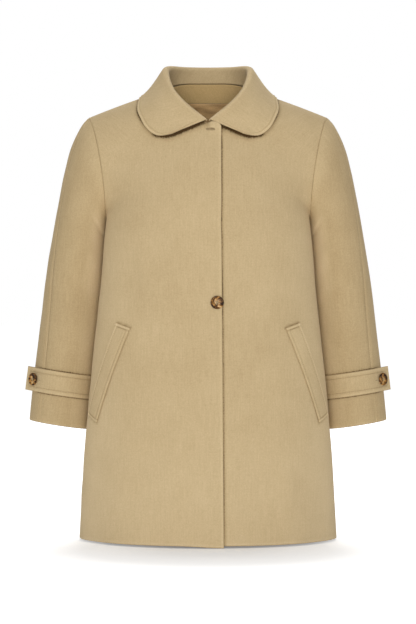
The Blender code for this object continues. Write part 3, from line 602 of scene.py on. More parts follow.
def makeWool(name, nap, settings, fibre=1.0, weave=1.0):
    # brushed wool: the nap's tone plus the mesh's painted shading picks a colour on the ramp
    finish, tree, shader = newFinish(name)
    napNode = addNode(tree, "ShaderNodeGroup", node_tree=nap)
    setInputs(napNode, Fibre=fibre, Weave=weave)
    paintedShading = addNode(tree, "ShaderNodeAttribute", attribute_name="paintedShading")
    tone = plus(tree, napNode.outputs["Tone"], paintedShading.outputs["Fac"])
    colour = colourRamp(tree, tone, [(at, settings[word]) for word, at in napStops.items()])
    tree.links.new(colour, shader.inputs["Base Color"])
    setInputs(shader, Roughness=settings["roughness"], Specular_IOR_Level=0.2, Sheen_Weight=settings["sheen"],
              Sheen_Roughness=settings["sheenRoughness"], Sheen_Tint=settings["sheenTint"])
    bumpFrom(tree, shader, napNode.outputs["Height"], settings["bump"], settings["bumpDistance"])
    return finish


satin = dict(dark=(0.262, 0.143, 0.055), light=(0.838, 0.543, 0.244), darkAt=0.3, lightAt=0.72,
             roughness=0.40, sheen=0.2, sheenTint=(0.86, 0.74, 0.56, 1.0), twillPitch=0.0011,
             shadeTurn=math.radians(40), shadeScale=(18.0, 75.0, 1.0), shadeTone=0.8, twillTone=0.2,
             bump=0.12, bumpDistance=0.0003)


def makeSatin(name):  # diagonal twill lines and a slow painted shading of folds and sheen on a smooth lining
    finish, tree, shader = newFinish(name)
    grain = addNode(tree, "ShaderNodeUVMap", uv_map="grain").outputs["UV"]
    twill = threadBands(tree, grain, satin["twillPitch"], "DIAGONAL", Distortion=1.0, Detail=1.0)
    turned = mapped(tree, grain, Rotation=(0.0, 0.0, satin["shadeTurn"]), Scale=satin["shadeScale"])
    shade = noise(tree, turned, 1.0, 2.0, 0.5)
    tone = plus(tree, times(tree, shade, satin["shadeTone"]), times(tree, twill, satin["twillTone"]))
    colour = colourRamp(tree, tone, ((satin["darkAt"], satin["dark"]), (satin["lightAt"], satin["light"])))
    tree.links.new(colour, shader.inputs["Base Color"])
    setInputs(shader, Roughness=satin["roughness"], Sheen_Weight=satin["sheen"],
              Sheen_Tint=satin["sheenTint"])
    bumpFrom(tree, shader, twill, satin["bump"], satin["bumpDistance"])
    return finish


shell = dict(dark=(0.026, 0.012, 0.005), brown=(0.140, 0.062, 0.017), amber=(0.420, 0.205, 0.050),
             cream=(0.740, 0.520, 0.260), scale=95.0, roughness=0.36, coat=0.05, coatRoughness=0.10,
             dishHighlight=0.16, dishEdge=0.68, dishBlend=0.25, rimShade=0.03, bump=0.05, bumpDistance=0.0002)
shellStops = dict(dark=0.40, brown=0.50, amber=0.59, cream=0.72)


def makeTortoiseshell(name):  # dark drifts and amber windows of a polished button, with a painted highlight in its dish and painted shade at its rim
    finish, tree, shader = newFinish(name)
    spot = addNode(tree, "ShaderNodeTexCoord").outputs["Object"]
    drift = noise(tree, spot, shell["scale"], 2.5, 0.55, distortion=1.2)
    paintedDishLight = addNode(tree, "ShaderNodeAttribute", attribute_name="paintedDishLight")
    tone = plus(tree, drift, paintedDishLight.outputs["Fac"])
    colour = colourRamp(tree, tone, [(at, shell[word]) for word, at in shellStops.items()])
    tree.links.new(colour, shader.inputs["Base Color"])
    setInputs(shader, Roughness=shell["roughness"], Coat_Weight=shell["coat"],
              Coat_Roughness=shell["coatRoughness"], IOR=1.40, Specular_IOR_Level=0.15)
    bumpFrom(tree, shader, drift, shell["bump"], shell["bumpDistance"])
    return finish


threadTone = dict(deep=(0.20, 0.14, 0.07), groove=(0.25, 0.18, 0.09), dim=(0.300, 0.212, 0.108),
                  dark=(0.330, 0.235, 0.120), light=(0.470, 0.350, 0.190), edge=(0.52, 0.40, 0.22),
                  roughness=0.7, sheen=0.1, sheenRoughness=0.4, sheenTint=(0.9, 0.85, 0.7, 1.0),
                  bump=0.3, bumpDistance=0.0002)
# darker copy of the thread: painted shade of the buttonhole slits
slitShadeTone = dict(threadTone, dark=(0.220, 0.155, 0.078), light=(0.300, 0.215, 0.110))
# lighter, warmer copy of the wool for the facing inside the neck: painted light against its shade
paintedLightWool = dict(wool, dark=(0.520, 0.352, 0.146), light=(0.688, 0.487, 0.231), edge=(0.766, 0.560, 0.279))

nap = makeNapGroup()
woolFinish = makeWool("camelWool", nap, wool)
facingFinish = makeWool("facingWool", nap, paintedLightWool)
threadFinish = makeWool("camelThread", nap, threadTone, weave=0.0)
slitShadeFinish = makeWool("slitShade", nap, slitShadeTone, weave=0.0)
liningFinish = makeSatin("brownSatin")
buttonFinish = makeTortoiseshell("tortoiseshell")
print("finishes made")

# fronts
lapCut = dict(top=0.023, hem=0.027, lift=0.0013, flat=0.029, blend=0.085,
              cornerDrop=0.0075, cornerRise=3.0, cornerRun=3.0,
              turnOut=0.0085, turnUp=0.0032,  # the corner that stands over the leaf
              turnFrom=-0.004, turnTo=0.005, turnFoot=-0.100, outPower=1.6, upFrom=0.002, upWidth=0.012,
              hemDip=0.0030, dipReach=0.075, softRows=np.linspace(-0.10, 0.10, 9),
              paintedShadow=(1.0, 0.0026, -0.52),  # share, width and tone of the painted shadow beside the lap
              hemPaintedLight=0.12, hemPaintedLightFrom=0.45, hemPaintedLightOver=0.30,  # painted light low down, by depth
              # painted light towards the side seams, below the chest
              sidePaintedLight=0.12, sidePaintedLightFrom=0.35, sidePaintedLightOver=0.40, sidePaintedLightDepth=0.17, sidePaintedLightDown=0.12,
              seamClear=0.16, neckSoft=0.22, underarmSoft=0.20, underarmHold=1.7, softClear=0.15,
              sideQuiet=0.03, topQuiet=0.05, lapQuiet=(0.01, 0.05))  # relief fades out over these widths
frontGrid = dict(width=0.24, across=124, skirt=140, chest=42, corner=15, cornerReach=0.05, yoke=44,
                 nearShoulder=(1.9995, 1.998, 1.996, 1.992))

frontCreases = {  # across and height at both ends of a crease, then its width and depth
    rightSide: ((0.03, -0.30, 0.15, -0.14, 0.020, -0.0010), (0.05, -0.42, 0.16, -0.24, 0.024, 0.0010),
                (0.06, -0.76, 0.05, -0.50, 0.022, 0.0009), (0.13, -0.77, 0.10, -0.58, 0.020, -0.0010),
                (0.15, -0.26, 0.12, -0.36, 0.016, -0.0009)),
    leftSide: ((0.04, -0.34, 0.15, -0.16, 0.022, -0.0010), (0.07, -0.44, 0.16, -0.28, 0.022, 0.0009),
               (0.09, -0.77, 0.07, -0.55, 0.020, -0.0010), (0.15, -0.77, 0.13, -0.60, 0.018, 0.0012),
               (0.15, -0.27, 0.12, -0.38, 0.016, -0.0009))}


def lapEdge(rows):
    # share s of the front edge: the lap's width past the centre,
    # rounded off by a superellipse at its top corner
    _, side, end = rowEnds(rows, frontFace)
    width = lapCut["top"] + (lapCut["hem"] - lapCut["top"]) * np.clip(1 - rows, 0, 1)
    neckRow = 1 + bodyCut["frontNeckShare"]
    chestRise = bodyCut["neckFrontZ"] - bodyCut["underarm"]
    cornerRows = lapCut["cornerDrop"] / chestRise * bodyCut["frontNeckShare"]
    drop = np.clip((neckRow - rows) / cornerRows, 0, 1)
    width = width * (1 - (1 - drop) ** lapCut["cornerRise"]) ** (1 / lapCut["cornerRun"])
    return -np.arcsin(width * arcShare(end, rows, frontFace)[0] / np.maximum(side[:, 0], tiny)) / end


def lapOffset(x):  # the laps lie apart by a lift that is flat at the centre and eases away
    return lapCut["lift"] * (1 - ease((np.abs(x) - lapCut["flat"]) / (lapCut["blend"] - lapCut["flat"])))


def lapTurn(x, z):
    # the upper lap's corner stands forward and up: powers of the height times eased steps past the centre
    foot, start = lapCut["turnFoot"], lapCut["turnFrom"]
    up = np.clip((z - foot) / (bodyCut["neckFrontZ"] - foot), 0, 1)
    out = lapCut["turnOut"] * up ** lapCut["outPower"] * ease((-x - start) / (lapCut["turnTo"] - start))
    return points3(0.0, -out, lapCut["turnUp"] * up**2 * ease((lapCut["upFrom"] - x) / lapCut["upWidth"]))


def hemDip(x, z):  # the lap's lower corner hangs a little lower, eased in from the side and from above
    reach = lapCut["dipReach"]
    fromSide = ease(1 - (x + lapCut["hem"]) / reach)
    return -lapCut["hemDip"] * fromSide * ease((-bodyCut["length"] + reach - z) / reach)


def hemRows():  # rows of the rolled hem
    return rollSteps * cloth["foldRoll"] / (bodyCut["length"] + bodyCut["underarm"])


def frontRows():  # rows close together at the hem, the lap's corner and the shoulder
    neckRow = 1 + bodyCut["frontNeckShare"]
    cornerStart = neckRow - frontGrid["cornerReach"]
    hem = hemRows()
    skirt = np.linspace(hem[-1], 1, frontGrid["skirt"])
    chest = np.linspace(1, cornerStart, frontGrid["chest"])
    w = np.linspace(0, 1, frontGrid["corner"])
    corner = neckRow - (neckRow - cornerStart) * (1 - np.sin(math.pi / 2 * w))
    yoke = np.linspace(neckRow, 2, frontGrid["yoke"])
    rows = np.concatenate((hem, skirt, chest, corner, yoke, frontGrid["nearShoulder"]))
    return np.unique(np.round(rows, 7))


def softened(outer, s, t):  # mean over nearby rows at the underarm and where the rows leave the centre line
    soft = np.mean([halfBody(s, np.minimum(t + shift, 2), frontFace) for shift in lapCut["softRows"]], axis=0)
    clear = lapCut["softClear"]
    byNeck = ease(1 - np.abs(t - 1 - bodyCut["frontNeckShare"]) / lapCut["neckSoft"]) * ease(s / clear)
    byUnderarm = ease(lapCut["underarmHold"] - np.abs(t - 1) / lapCut["underarmSoft"])
    return outer + (np.maximum(byNeck, byUnderarm) * ease((1 - s) / clear))[..., None] * (soft - outer)


def frontSheet(side, lift):
    # one front: the body's surface from the lap's edge to the side, plus creases, less half the wall
    rows = frontRows()
    edge = np.where(rows < 1 + bodyCut["frontNeckShare"] - tiny, lapEdge(rows), 0.0)[:, None]
    s = edge + (1 - edge) * spread(frontGrid["width"], frontGrid["across"])[None, :]
    t = np.repeat(rows[:, None], s.shape[1], axis=1)
    n = bodyNormals(s, t, frontFace)
    outer = softened(halfBody(s, t, frontFace), s, t)
    n = towards(n, edgeNormals(rows, frontFace)[:, None], fromEdge(outer, "right"))
    n = towards(n, shoulderNormals(np.clip(s[-1], 0, 1))[None], fromEdge(outer, "top"))
    across, z = runLength(outer, 1) + outer[:, :1, 0], outer[..., 2]
    lapStart, lapFade = lapCut["lapQuiet"]
    quiet = ease(fromEdge(outer, "right") / lapCut["sideQuiet"])
    quiet = quiet * ease(fromEdge(outer, "top") / lapCut["topQuiet"])
    quiet = quiet * ease((np.abs(outer[..., 0]) - lapStart) / lapFade)
    relief = creaseGain * creaseField(across, z, frontCreases[side])
    relief = relief + handFeel(across, z, cloth["bodyFeel"], 3 + side)
    middle = outer + (relief * quiet - cloth["wall"] / 2)[..., None] * n
    middle[..., 1] -= lift * lapOffset(middle[..., 0])
    if lift > 0:
        middle = middle + lapTurn(middle[..., 0], middle[..., 2])
        middle[..., 2] += hemDip(middle[..., 0], middle[..., 2])
    half = cloth["wall"] / 2 * rolled(middle, left=cloth["foldRoll"], foot=cloth["foldRoll"],
                                      right=cloth["seamRoll"], top=cloth["seamRoll"])
    # painted highlights along the lap edge and hem fold, painted shade in the side and shoulder seams
    paintedShading = paintedEdgeShading(middle, ("left", "foot"), ("right", "top"))
    # painted light low down and towards the sides, faded out at the side seam
    depth = -middle[..., 2]
    lighter = lapCut["hemPaintedLight"] * ease((depth - lapCut["hemPaintedLightFrom"]) / lapCut["hemPaintedLightOver"])
    bySide = lapCut["sidePaintedLight"] * ease((s - lapCut["sidePaintedLightFrom"]) / lapCut["sidePaintedLightOver"])
    lighter = lighter + bySide * ease((depth - lapCut["sidePaintedLightDepth"]) / lapCut["sidePaintedLightDown"])
    return middle, n, half, paintedShading + lighter * ease((1 - s) / lapCut["seamClear"])


fronts = {}
for word, side, lift in (("right", rightSide, 1), ("left", leftSide, -1)):
    sheet = frontSheet(side, lift)
    mesh = shellMesh("front_" + word, *sheet, side)
    piece = fronts[side] = place("coat_front_" + word, mesh, woolFinish, "front_" + word)
# painted shadow on the left front beside the upper lap's edge
underLap = sheet[0][:, 0] * mirrorX  # where the upper lap's edge lies on the left front
paintShadow(fronts[leftSide], underLap, *lapCut["paintedShadow"])
print("fronts made")

# back
backCreases = ((-0.05, -0.20, -0.12, -0.40, 0.022, -0.0012), (0.06, -0.18, 0.13, -0.42, 0.024, -0.0012),
               (0.02, -0.30, -0.02, -0.60, 0.030, 0.0012), (-0.15, -0.24, -0.09, -0.14, 0.018, 0.0010),
               (0.15, -0.25, 0.10, -0.15, 0.018, 0.0010), (-0.10, -0.76, -0.08, -0.50, 0.022, 0.0012),
               (0.12, -0.77, 0.11, -0.54, 0.020, -0.0012))
backGrid = dict(width=0.30, across=70, skirt=84, chest=20, yoke=36, centreClear=0.02,
                sideQuiet=0.03, topQuiet=0.06)


def backRows():  # rows close together at the hem and the neck
    hem = hemRows()
    skirt = np.linspace(hem[-1], 1, backGrid["skirt"])
    chest = np.linspace(1, bodyCut["yokeStart"], backGrid["chest"])
    w = np.linspace(0, 1, backGrid["yoke"])
    yoke = bodyCut["yokeStart"] + (2 - bodyCut["yokeStart"]) * np.sin(math.pi / 2 * w)
    return np.unique(np.round(np.concatenate((hem, skirt, chest, yoke)), 7))


def backSheet():
    # the back: half the body's surface and its mirror image, plus creases, less half the wall
    rows = backRows()
    c = spread(backGrid["width"], backGrid["across"])
    s, t = np.meshgrid(np.unique(np.concatenate(((0.0,), c[c > backGrid["centreClear"]]))), rows)
    outer, n = halfBody(s, t, backFace), bodyNormals(s, t, backFace)
    n = towards(n, edgeNormals(rows, backFace)[:, None], fromEdge(outer, "right"))
    share = shoulderShare(s[-1])
    top = np.where((share >= 0)[:, None], shoulderNormals(np.clip(share, 0, 1)), n[-1])
    n = towards(n, top[None], fromEdge(outer, "top"))
    n[:, 0, 0] = 0.0
    outer, n = bothHalves(outer), bothHalves(unit(n))
    across, z = runLength(outer, 1) - runLength(outer, 1)[:, [outer.shape[1] // 2]], outer[..., 2]
    fade = backGrid["sideQuiet"]
    quiet = ease(fromEdge(outer, "right") / fade) * ease(fromEdge(outer, "left") / fade)
    quiet = quiet * ease(fromEdge(outer, "top") / backGrid["topQuiet"])
    relief = creaseGain * creaseField(across, z, backCreases) + handFeel(across, z, cloth["bodyFeel"], 11)
    middle = outer + (relief * quiet - cloth["wall"] / 2)[..., None] * n
    half = cloth["wall"] / 2 * rolled(middle, foot=cloth["foldRoll"], left=cloth["seamRoll"],
                                      right=cloth["seamRoll"], top=cloth["seamRoll"])
    # painted highlight along the hem fold, painted shade in the seams
    return middle, n, half, paintedEdgeShading(middle, ("foot",), ("left", "right", "top"))


back = place("coat_back", shellMesh("back", *backSheet()), woolFinish, "back")
print("back made")

# inside of the back neck
neckInside = dict(share=0.24, facingFoot=-0.012, liningFoot=-0.110, facingTop=1.985, searchRows=400,
                  standFoot=0.0028,
                  meetIn=0.0044, meetDown=0.0014,  # the facing's top edge lies just inside the stand's foot
                  meetFrom=0.35, meetOver=0.65, across=41,
                  edgeRoll=0.0012, edgeRows=(0.004, 0.012, 0.03, 0.97, 0.988, 0.996), footShade=3)


def backRowAt(height, s):  # row of the back at a height, read off each column's rising heights
    rows = np.linspace(1, 2, neckInside["searchRows"])
    grid = halfBody(s[None, :], rows[:, None], backFace)[..., 2]
    return np.array([np.interp(height, column, rows) for column in grid.T])


def standFoot(s):  # where the collar's stand is sewn on along the back neck, a little in and down
    seam = neckSeam(s / bodyCut["backNeckShare"], backFace)
    inward = unit(seam * (1, 1, 0) - np.array((0, bodyCut["sideNeckY"], 0)))
    return seam - neckInside["meetIn"] * inward + (0, 0, neckInside["standFoot"] - neckInside["meetDown"])


def insideSheet(footRow, topRow, wall, count, meetsStand=False):
    # part of the back's own surface, moved in by the wall and a gap;
    # a top edge that meets the stand is eased to it
    s = np.linspace(0, neckInside["share"], neckInside["across"])
    w = np.unique(np.round(np.concatenate((np.linspace(0, 1, count), neckInside["edgeRows"])), 5))
    t = footRow(s)[None, :] * (1 - w[:, None]) + topRow(s)[None, :] * w[:, None]
    s = np.repeat(s[None, :], len(w), axis=0)
    n = bodyNormals(s, t, backFace)
    n[:, 0, 0] = 0.0
    n = unit(n)
    middle = halfBody(s, t, backFace) - (cloth["wall"] + cloth["insideGap"] + wall / 2) * n
    if meetsStand:
        rise = ease((w - neckInside["meetFrom"]) / neckInside["meetOver"])[:, None, None]
        middle = middle + rise * (standFoot(s[-1]) - middle[-1])
    middle, n = bothHalves(middle), bothHalves(n)
    roll = neckInside["edgeRoll"]
    half = wall / 2 * rolled(middle, left=roll, right=roll, foot=roll, top=roll)
    # painted shade along the foot seam
    return middle, n, half, neckInside["footShade"] * paintedEdgeShading(middle, (), ("foot",))


facingFootRow = lambda s: backRowAt(neckInside["facingFoot"], s)
facingTopRow = lambda s: np.full_like(s, neckInside["facingTop"])
facing = insideSheet(facingFootRow, facingTopRow, cloth["facingWall"], 26, True)
mesh = shellMesh("neck_facing", *facing)
piece = place("neck_facing", mesh, facingFinish, "back_neck_facing")
lining = insideSheet(lambda s: backRowAt(neckInside["liningFoot"], s), facingFootRow, cloth["liningWall"], 40)
piece = place("neck_lining", shellMesh("neck_lining", *lining), liningFinish, "back_lining")
print("neck inside made")

# sleeves
sewnSteps = np.array((-0.0018, -0.0011, -0.0005, 0, 0.0005, 0.0011, 0.0018))  # close columns at a sewn line
sleeveCut = dict(seamTop=math.radians(14), seamCuff=math.radians(48), seamEnd=0.835,
                 # the sewn groove is darkened as painted shade
                 topstitch=0.0048, grooveDepth=0.0007, grooveShade=60,
                 ridgeHighlight=0.14, ridgeAt=0.0024, ridgeWidth=0.0013,  # painted highlight on a ridge beside the sewn line
                 # the whole sleeve is darkened a little as painted shade, easing in below the armhole
                 nap=-0.11, sleeveShadeOver=0.12,
                 innerPaintedLight=0.46, innerFrom=102, innerOver=34, innerTop=0.3,  # painted light towards the body, against the shade between sleeve and body
                 lowLoss=0.55, lowFrom=0.48, lowOver=0.15,
                 seamQuiet=0.02, topQuiet=0.05, creaseEnd=0.80, creaseOver=0.08,
                 radius=0.056, length=0.53,  # mean sizes, to measure turns and stations in metres
                 rows=150, nearFoot=(0.0006, 0.0015, 0.003), across=44, width=0.16,
                 tabRows=(0.829, 0.905),
                 byTab=np.array((-0.006, -0.003, -0.0015, 0, 0.0015, 0.003, 0.006)))

sleeveCreases = {  # turn in degrees and station at both ends of a crease, then its width and depth in metres
    frontFace: ((70, 0.50, 150, 0.62, 0.016, -0.0013), (60, 0.60, 140, 0.70, 0.015, 0.0011),
                (80, 0.38, 160, 0.50, 0.014, 0.0010), (110, 0.20, 165, 0.34, 0.013, -0.0013),
                (55, 0.30, 75, 0.55, 0.014, -0.0008)),
    backFace: ((210, 0.46, 290, 0.56, 0.017, 0.0013), (215, 0.56, 280, 0.64, 0.015, -0.0013),
               (200, 0.30, 260, 0.42, 0.014, -0.0012), (300, 0.40, 330, 0.70, 0.016, 0.0009))}


def overarmSeam(t):  # turn of the seam, from top to cuff by a quarter sine
    return sleeveCut["seamTop"] + (sleeveCut["seamCuff"] - sleeveCut["seamTop"]) * np.sin(math.pi / 2 * t)


def sleeveSheet(face, side):
    # half a sleeve: the slanted rings from seam to seam, plus creases and a sewn line, less half the wall
    isFront = face == frontFace
    radius, length = sleeveCut["radius"], sleeveCut["length"]
    w = np.linspace(0, 1, sleeveCut["rows"])
    cuff = 1 - rollSteps * cloth["foldRoll"] / length
    byTab = [at + sleeveCut["byTab"] for at in sleeveCut["tabRows"]]
    rows = np.concatenate((0.35 * w**2 + 0.65 * w, cuff, sleeveCut["nearFoot"], *byTab))
    rows = np.unique(np.round(rows, 7))
    seam = overarmSeam(rows)[:, None]
    start, end = (seam, math.pi) if isFront else (math.pi, 2 * math.pi + seam)
    near = tuple(sleeveCut["topstitch"] + sewnSteps) if isFront else ()
    c = spread(sleeveCut["width"], sleeveCut["across"], startAt=near)
    turn = start + (end - start) * c[None, :]
    t = np.repeat(rows[:, None], len(c), axis=1)
    outer = sleeveAt(turn, t)
    n = normalsOf(sleeveAt, turn, np.maximum(t, 2e-3))
    rise = np.abs(np.mod(turn[0], 2 * math.pi) - math.pi) / math.pi
    onFront = (np.sin(turn[0]) >= 0)[:, None]
    target = np.where(onFront, armholeNormals(1 + rise, frontFace), armholeNormals(1 + rise, backFace))
    n = towards(n, target[None], fromEdge(outer, "foot"))
    across, down = radius * turn, length * t
    creases = [(radius * math.radians(a0), length * d0, radius * math.radians(a1), length * d1, width, depth)
               for a0, d0, a1, d1, width, depth in sleeveCreases[face]]
    relief = creaseField(across, down, creases)
    relief = relief + handFeel(across, down, cloth["sleeveFeel"], 21 + side + 4 * face)
    fromSeam, clear = fromEdge(outer, "left"), sleeveCut["seamQuiet"]
    quiet = ease(fromSeam / clear) * ease(fromEdge(outer, "right") / clear)
    quiet = quiet * ease(fromEdge(outer, "foot") / sleeveCut["topQuiet"])
    relief = relief * (quiet * ease((sleeveCut["creaseEnd"] - t) / sleeveCut["creaseOver"]))
    groove = stitchGroove(fromSeam, sleeveCut["topstitch"], sleeveCut["grooveDepth"])
    if isFront:
        relief = relief + groove
    middle = outer + (relief - cloth["wall"] / 2)[..., None] * n
    half = cloth["wall"] / 2 * rolled(middle, left=cloth["seamRoll"], right=cloth["seamRoll"],
                                      foot=cloth["seamRoll"], top=cloth["foldRoll"])
    # painted highlight along the cuff's fold, painted shade in the seams
    paintedShading = paintedEdgeShading(middle, ("top",), ("right", "foot") if isFront else ("left", "foot"))
    if isFront:  # painted shade in the sewn line, a painted highlight on the ridge beside it, and painted light towards the body
        fade = ease((sleeveCut["seamEnd"] - t) / 0.01)
        paintedShading += sleeveCut["grooveShade"] * fade * groove
        ridge = np.exp(-((fromSeam - sleeveCut["ridgeAt"]) / sleeveCut["ridgeWidth"]) ** 2)
        paintedShading += sleeveCut["ridgeHighlight"] * fade * ridge
        low = sleeveCut["lowLoss"] * ease((t - sleeveCut["lowFrom"]) / sleeveCut["lowOver"])
        inward = ease((np.degrees(turn) - sleeveCut["innerFrom"]) / sleeveCut["innerOver"])
        paintedShading += sleeveCut["innerPaintedLight"] * (1 - low) * inward * ease(t / sleeveCut["innerTop"])
    # the whole sleeve darker as painted shade
    return middle, n, half, paintedShading + sleeveCut["nap"] * ease(t / sleeveCut["sleeveShadeOver"])


sleeves = {}
for word, side in bothSides:
    for part, face, width, area in (("front", frontFace, 0.235, 0.061), ("back", backFace, 0.265, 0.101)):
        mesh = shellMesh("sleeve", *sleeveSheet(face, side), side)
        node = "sleeve_%s_%s" % (part, word)
        piece = place("sleeve_%s_half_%s" % (part, word), mesh, woolFinish, node)
        sleeves[side, face] = piece
print("sleeves made")

# collar
collarCut = dict(end=1.4, foldRadius=0.0052, foldShare=0.40, flare=0.8, clear=0.0029, clearFront=0.0036,
                 clearTurns=(20, 70), standLift=0.0028, topstitch=0.0058, grooveDepth=0.0006, frontX=0.072,
                 # share, width and tone of the painted shadow under the leaf
                 backShadow=(0.92, 0.0042, -0.45), rimShadow=(0.95, 0.0044, -0.75),
                 frontShadow=(0.70, 0.0078, -0.75),
                 # the stand is darkened as painted shade, the leaf lightened as painted light, the fold given
                 # a painted highlight and the groove painted shade
                 standShade=-0.04, leafPaintedLight=0.05, foldHighlight=0.12, grooveShade=220,
                 bandHighlight=0.12, bandAt=0.0052, bandOver=0.002,  # painted highlight band outside the sewn line
                 grooveWidth=0.0012, ridge=0.0004, ridgeAt=0.0028, ridgeWidth=0.0016,
                 rimRoll=0.0016, footRoll=0.0014, leafFade=10, foldBack=8, foldWidth=5.0, standFade=6,
                 softTurns=(45, 30), softColumns=25, columns=130, standRows=18, foldRows=16, leafRows=30)
endTurns = np.array((0, 0.05, 0.12, 0.25, 0.45, 0.7, 1, 1.3, 1.6, 1.9, 2.2, 2.5, 2.8, 3.1, 3.5, 4, 4.6,
                     5.3, 6))  # degrees in from the collar's end
rimRows = np.array((0, 0.0002, 0.0005, 0.0009, 0.0014, 0.0021, 0.003, 0.0038, 0.0045, 0.0051, 0.0058, 0.0065,
                    0.0071, 0.0079, 0.009, 0.0105))  # distances from the rim

rollLine = columns(
    ("turn", "x", "y", "height"),
    (0, 0.0020, -0.0965, -0.0575), (20, 0.0315, -0.0905, -0.0370), (45, 0.0570, -0.0740, -0.0090),
    (65, 0.0680, -0.0500, 0.0120), (85, 0.0728, -0.0220, 0.0340), (110, 0.0685, 0.0145, 0.0450),
    (145, 0.0420, 0.0545, 0.0479), (180, 0.0000, 0.0685, 0.0486), (215, -0.0420, 0.0545, 0.0479))

leafEdge = columns(
    ("turn", "bearing", "height"),
    (0, 31.8, -0.0800), (7, 39.3, -0.0840), (14, 44.6, -0.0840), (24, 50.6, -0.0750), (38, 60.0, -0.0530),
    (49, 67.5, -0.0395), (60, 75.0, -0.0282), (72, 83.5, -0.0182), (85, 92.0, -0.0116), (110, 112.0, -0.0165),
    (145, 146.0, -0.0260), (180, 180.0, -0.0300), (215, 214.0, -0.0260))


def bodySkin():  # upper body as one surface, for what rests on it
    corners, faces = [], []
    for face in (frontFace, backFace):
        s, t = np.meshgrid(np.linspace(-0.06, 1, 60), np.linspace(1, 2, 90))
        number = np.arange(s.size).reshape(s.shape) + len(corners)
        corners += [Vector(p) for p in halfBody(s, t, face).reshape(-1, 3)]
        faces += gridFaces(number).tolist()
    return BVHTree.FromPolygons(corners, faces)


def leafRim(turns):  # edge of the leaf: where a level ray at its bearing meets the coat, moved out a little
    skin = bodySkin()
    bearing = np.radians(curveThrough(leafEdge, "bearing", turns))
    height = curveThrough(leafEdge, "height", turns)
    low, high = collarCut["clearTurns"]
    along = ease((turns - low) / (high - low))
    clear = collarCut["clearFront"] + (collarCut["clear"] - collarCut["clearFront"]) * along
    rays = [(Vector((0, 0, z)), Vector((math.sin(b), -math.cos(b), 0))) for b, z in zip(bearing, height)]
    hits = [skin.ray_cast(*ray)[:2] for ray in rays]
    n = np.array([tuple(hit[1]) for hit in hits])
    way = np.array([tuple(ray[1]) for ray in rays])
    n = n * np.where(np.sum(n * way, axis=1) > 0, 1, -1)[:, None]
    kernel = np.hanning(9)[1:-1]
    padded = np.concatenate((n[:1].repeat(3, 0), n, n[-1:].repeat(3, 0)))
    n = unit(np.stack([np.convolve(padded[:, k], kernel / kernel.sum(), "valid") for k in range(3)], -1))
    return np.array([tuple(hit[0]) for hit in hits]) + clear[:, None] * n


def touchAngle(outReach, downReach, radius, sign):  # angle where a line from outside touches the round fold
    reach = np.hypot(outReach, downReach)
    return np.arctan2(outReach, downReach) + sign * np.arccos(np.minimum(radius / reach, 1))


def collarSheet():
    # each section runs up the stand, round the fold on a circle, and down the leaf on a cubic Bezier
    ends = collarCut["end"] + endTurns
    turns = np.concatenate((ends, np.linspace(ends[-1] + 1.0, 180, collarCut["columns"])))
    share = turns / 90
    foot = np.where((share < 1)[:, None], neckSeam(np.minimum(share, 1), frontFace),
                    neckSeam(np.minimum(2 - share, 1), backFace))
    foot[:, 2] += collarCut["standLift"]
    axes = ("x", "y", "height")
    roll = points3(*(curveThrough(rollLine, name, turns) for name in axes))
    tangent = unit(points3(*(curveThrough(rollLine, name, turns + 0.5) for name in axes)) - roll)
    tangent[-1] = (-1.0, 0.0, 0.0)
    rim = leafRim(turns)
    toFoot, toRim = foot - roll, rim - roll
    stand = unit(toFoot - tangent * dot(toFoot, tangent))
    leaf = unit(toRim - tangent * dot(toRim, tangent))
    down, out = unit(stand + leaf), unit(leaf - stand)
    radius = np.minimum(collarCut["foldRadius"], collarCut["foldShare"] * np.linalg.norm(toFoot, axis=1))
    centre = roll + radius[:, None] * down
    first = touchAngle(dot(foot - centre, out)[:, 0], dot(foot - centre, down)[:, 0], radius, -1)
    last = touchAngle(dot(rim - centre, out)[:, 0], dot(rim - centre, down)[:, 0], radius, 1) - 2 * math.pi
    angle = (first + (last - first) * np.linspace(0, 1, collarCut["foldRows"])[:, None])[..., None]
    fold = centre + radius[:, None] * (np.sin(angle) * out + np.cos(angle) * down)
    w = np.linspace(0, 1, collarCut["standRows"])[:-1, None, None]
    standLine = foot + (fold[0] - foot) * w
    start = fold[-1]
    reach = np.linalg.norm(rim - start, axis=1)
    rimShare = 1 - rimRows[::-1, None] / reach
    upper = np.linspace(0, 1, collarCut["leafRows"])[1:, None] * (rimShare[:1] - 0.02)
    w = np.concatenate((upper, rimShare))[..., None]
    pullA = start + (rim - start) / 3
    pullB = rim - reach[:, None] / 3 * unit(unit(rim - start) + collarCut["flare"] * unit(rim - foot))
    v = 1 - w
    leafLine = v**3 * start + 3 * w * v * v * pullA + 3 * w * w * v * pullB + w**3 * rim
    middle = np.concatenate((standLine, fold, leafLine))
    weight = np.hanning(collarCut["softColumns"] + 2)[1:-1]  # even out the curve round the shoulders and back
    reach = len(weight) // 2
    mirror = middle[:, -2:-2 - reach:-1] * mirrorX
    padded = np.concatenate((middle[:, :1].repeat(reach, 1), middle, mirror), axis=1)
    soft = sum(share * padded[:, k:k + len(turns)] for k, share in enumerate(weight / weight.sum()))
    softFrom, softOver = collarCut["softTurns"]
    middle = middle + ease((turns - softFrom) / softOver)[None, :, None] * (soft - middle)
    middle[:, -1, 0] = 0.0
    n = np.cross(np.gradient(middle, axis=1), np.gradient(middle, axis=0))
    n[:, -1, 0] = 0.0
    n = unit(n)
    leafStart = len(standLine) + len(fold)
    return middle, n, leafStart


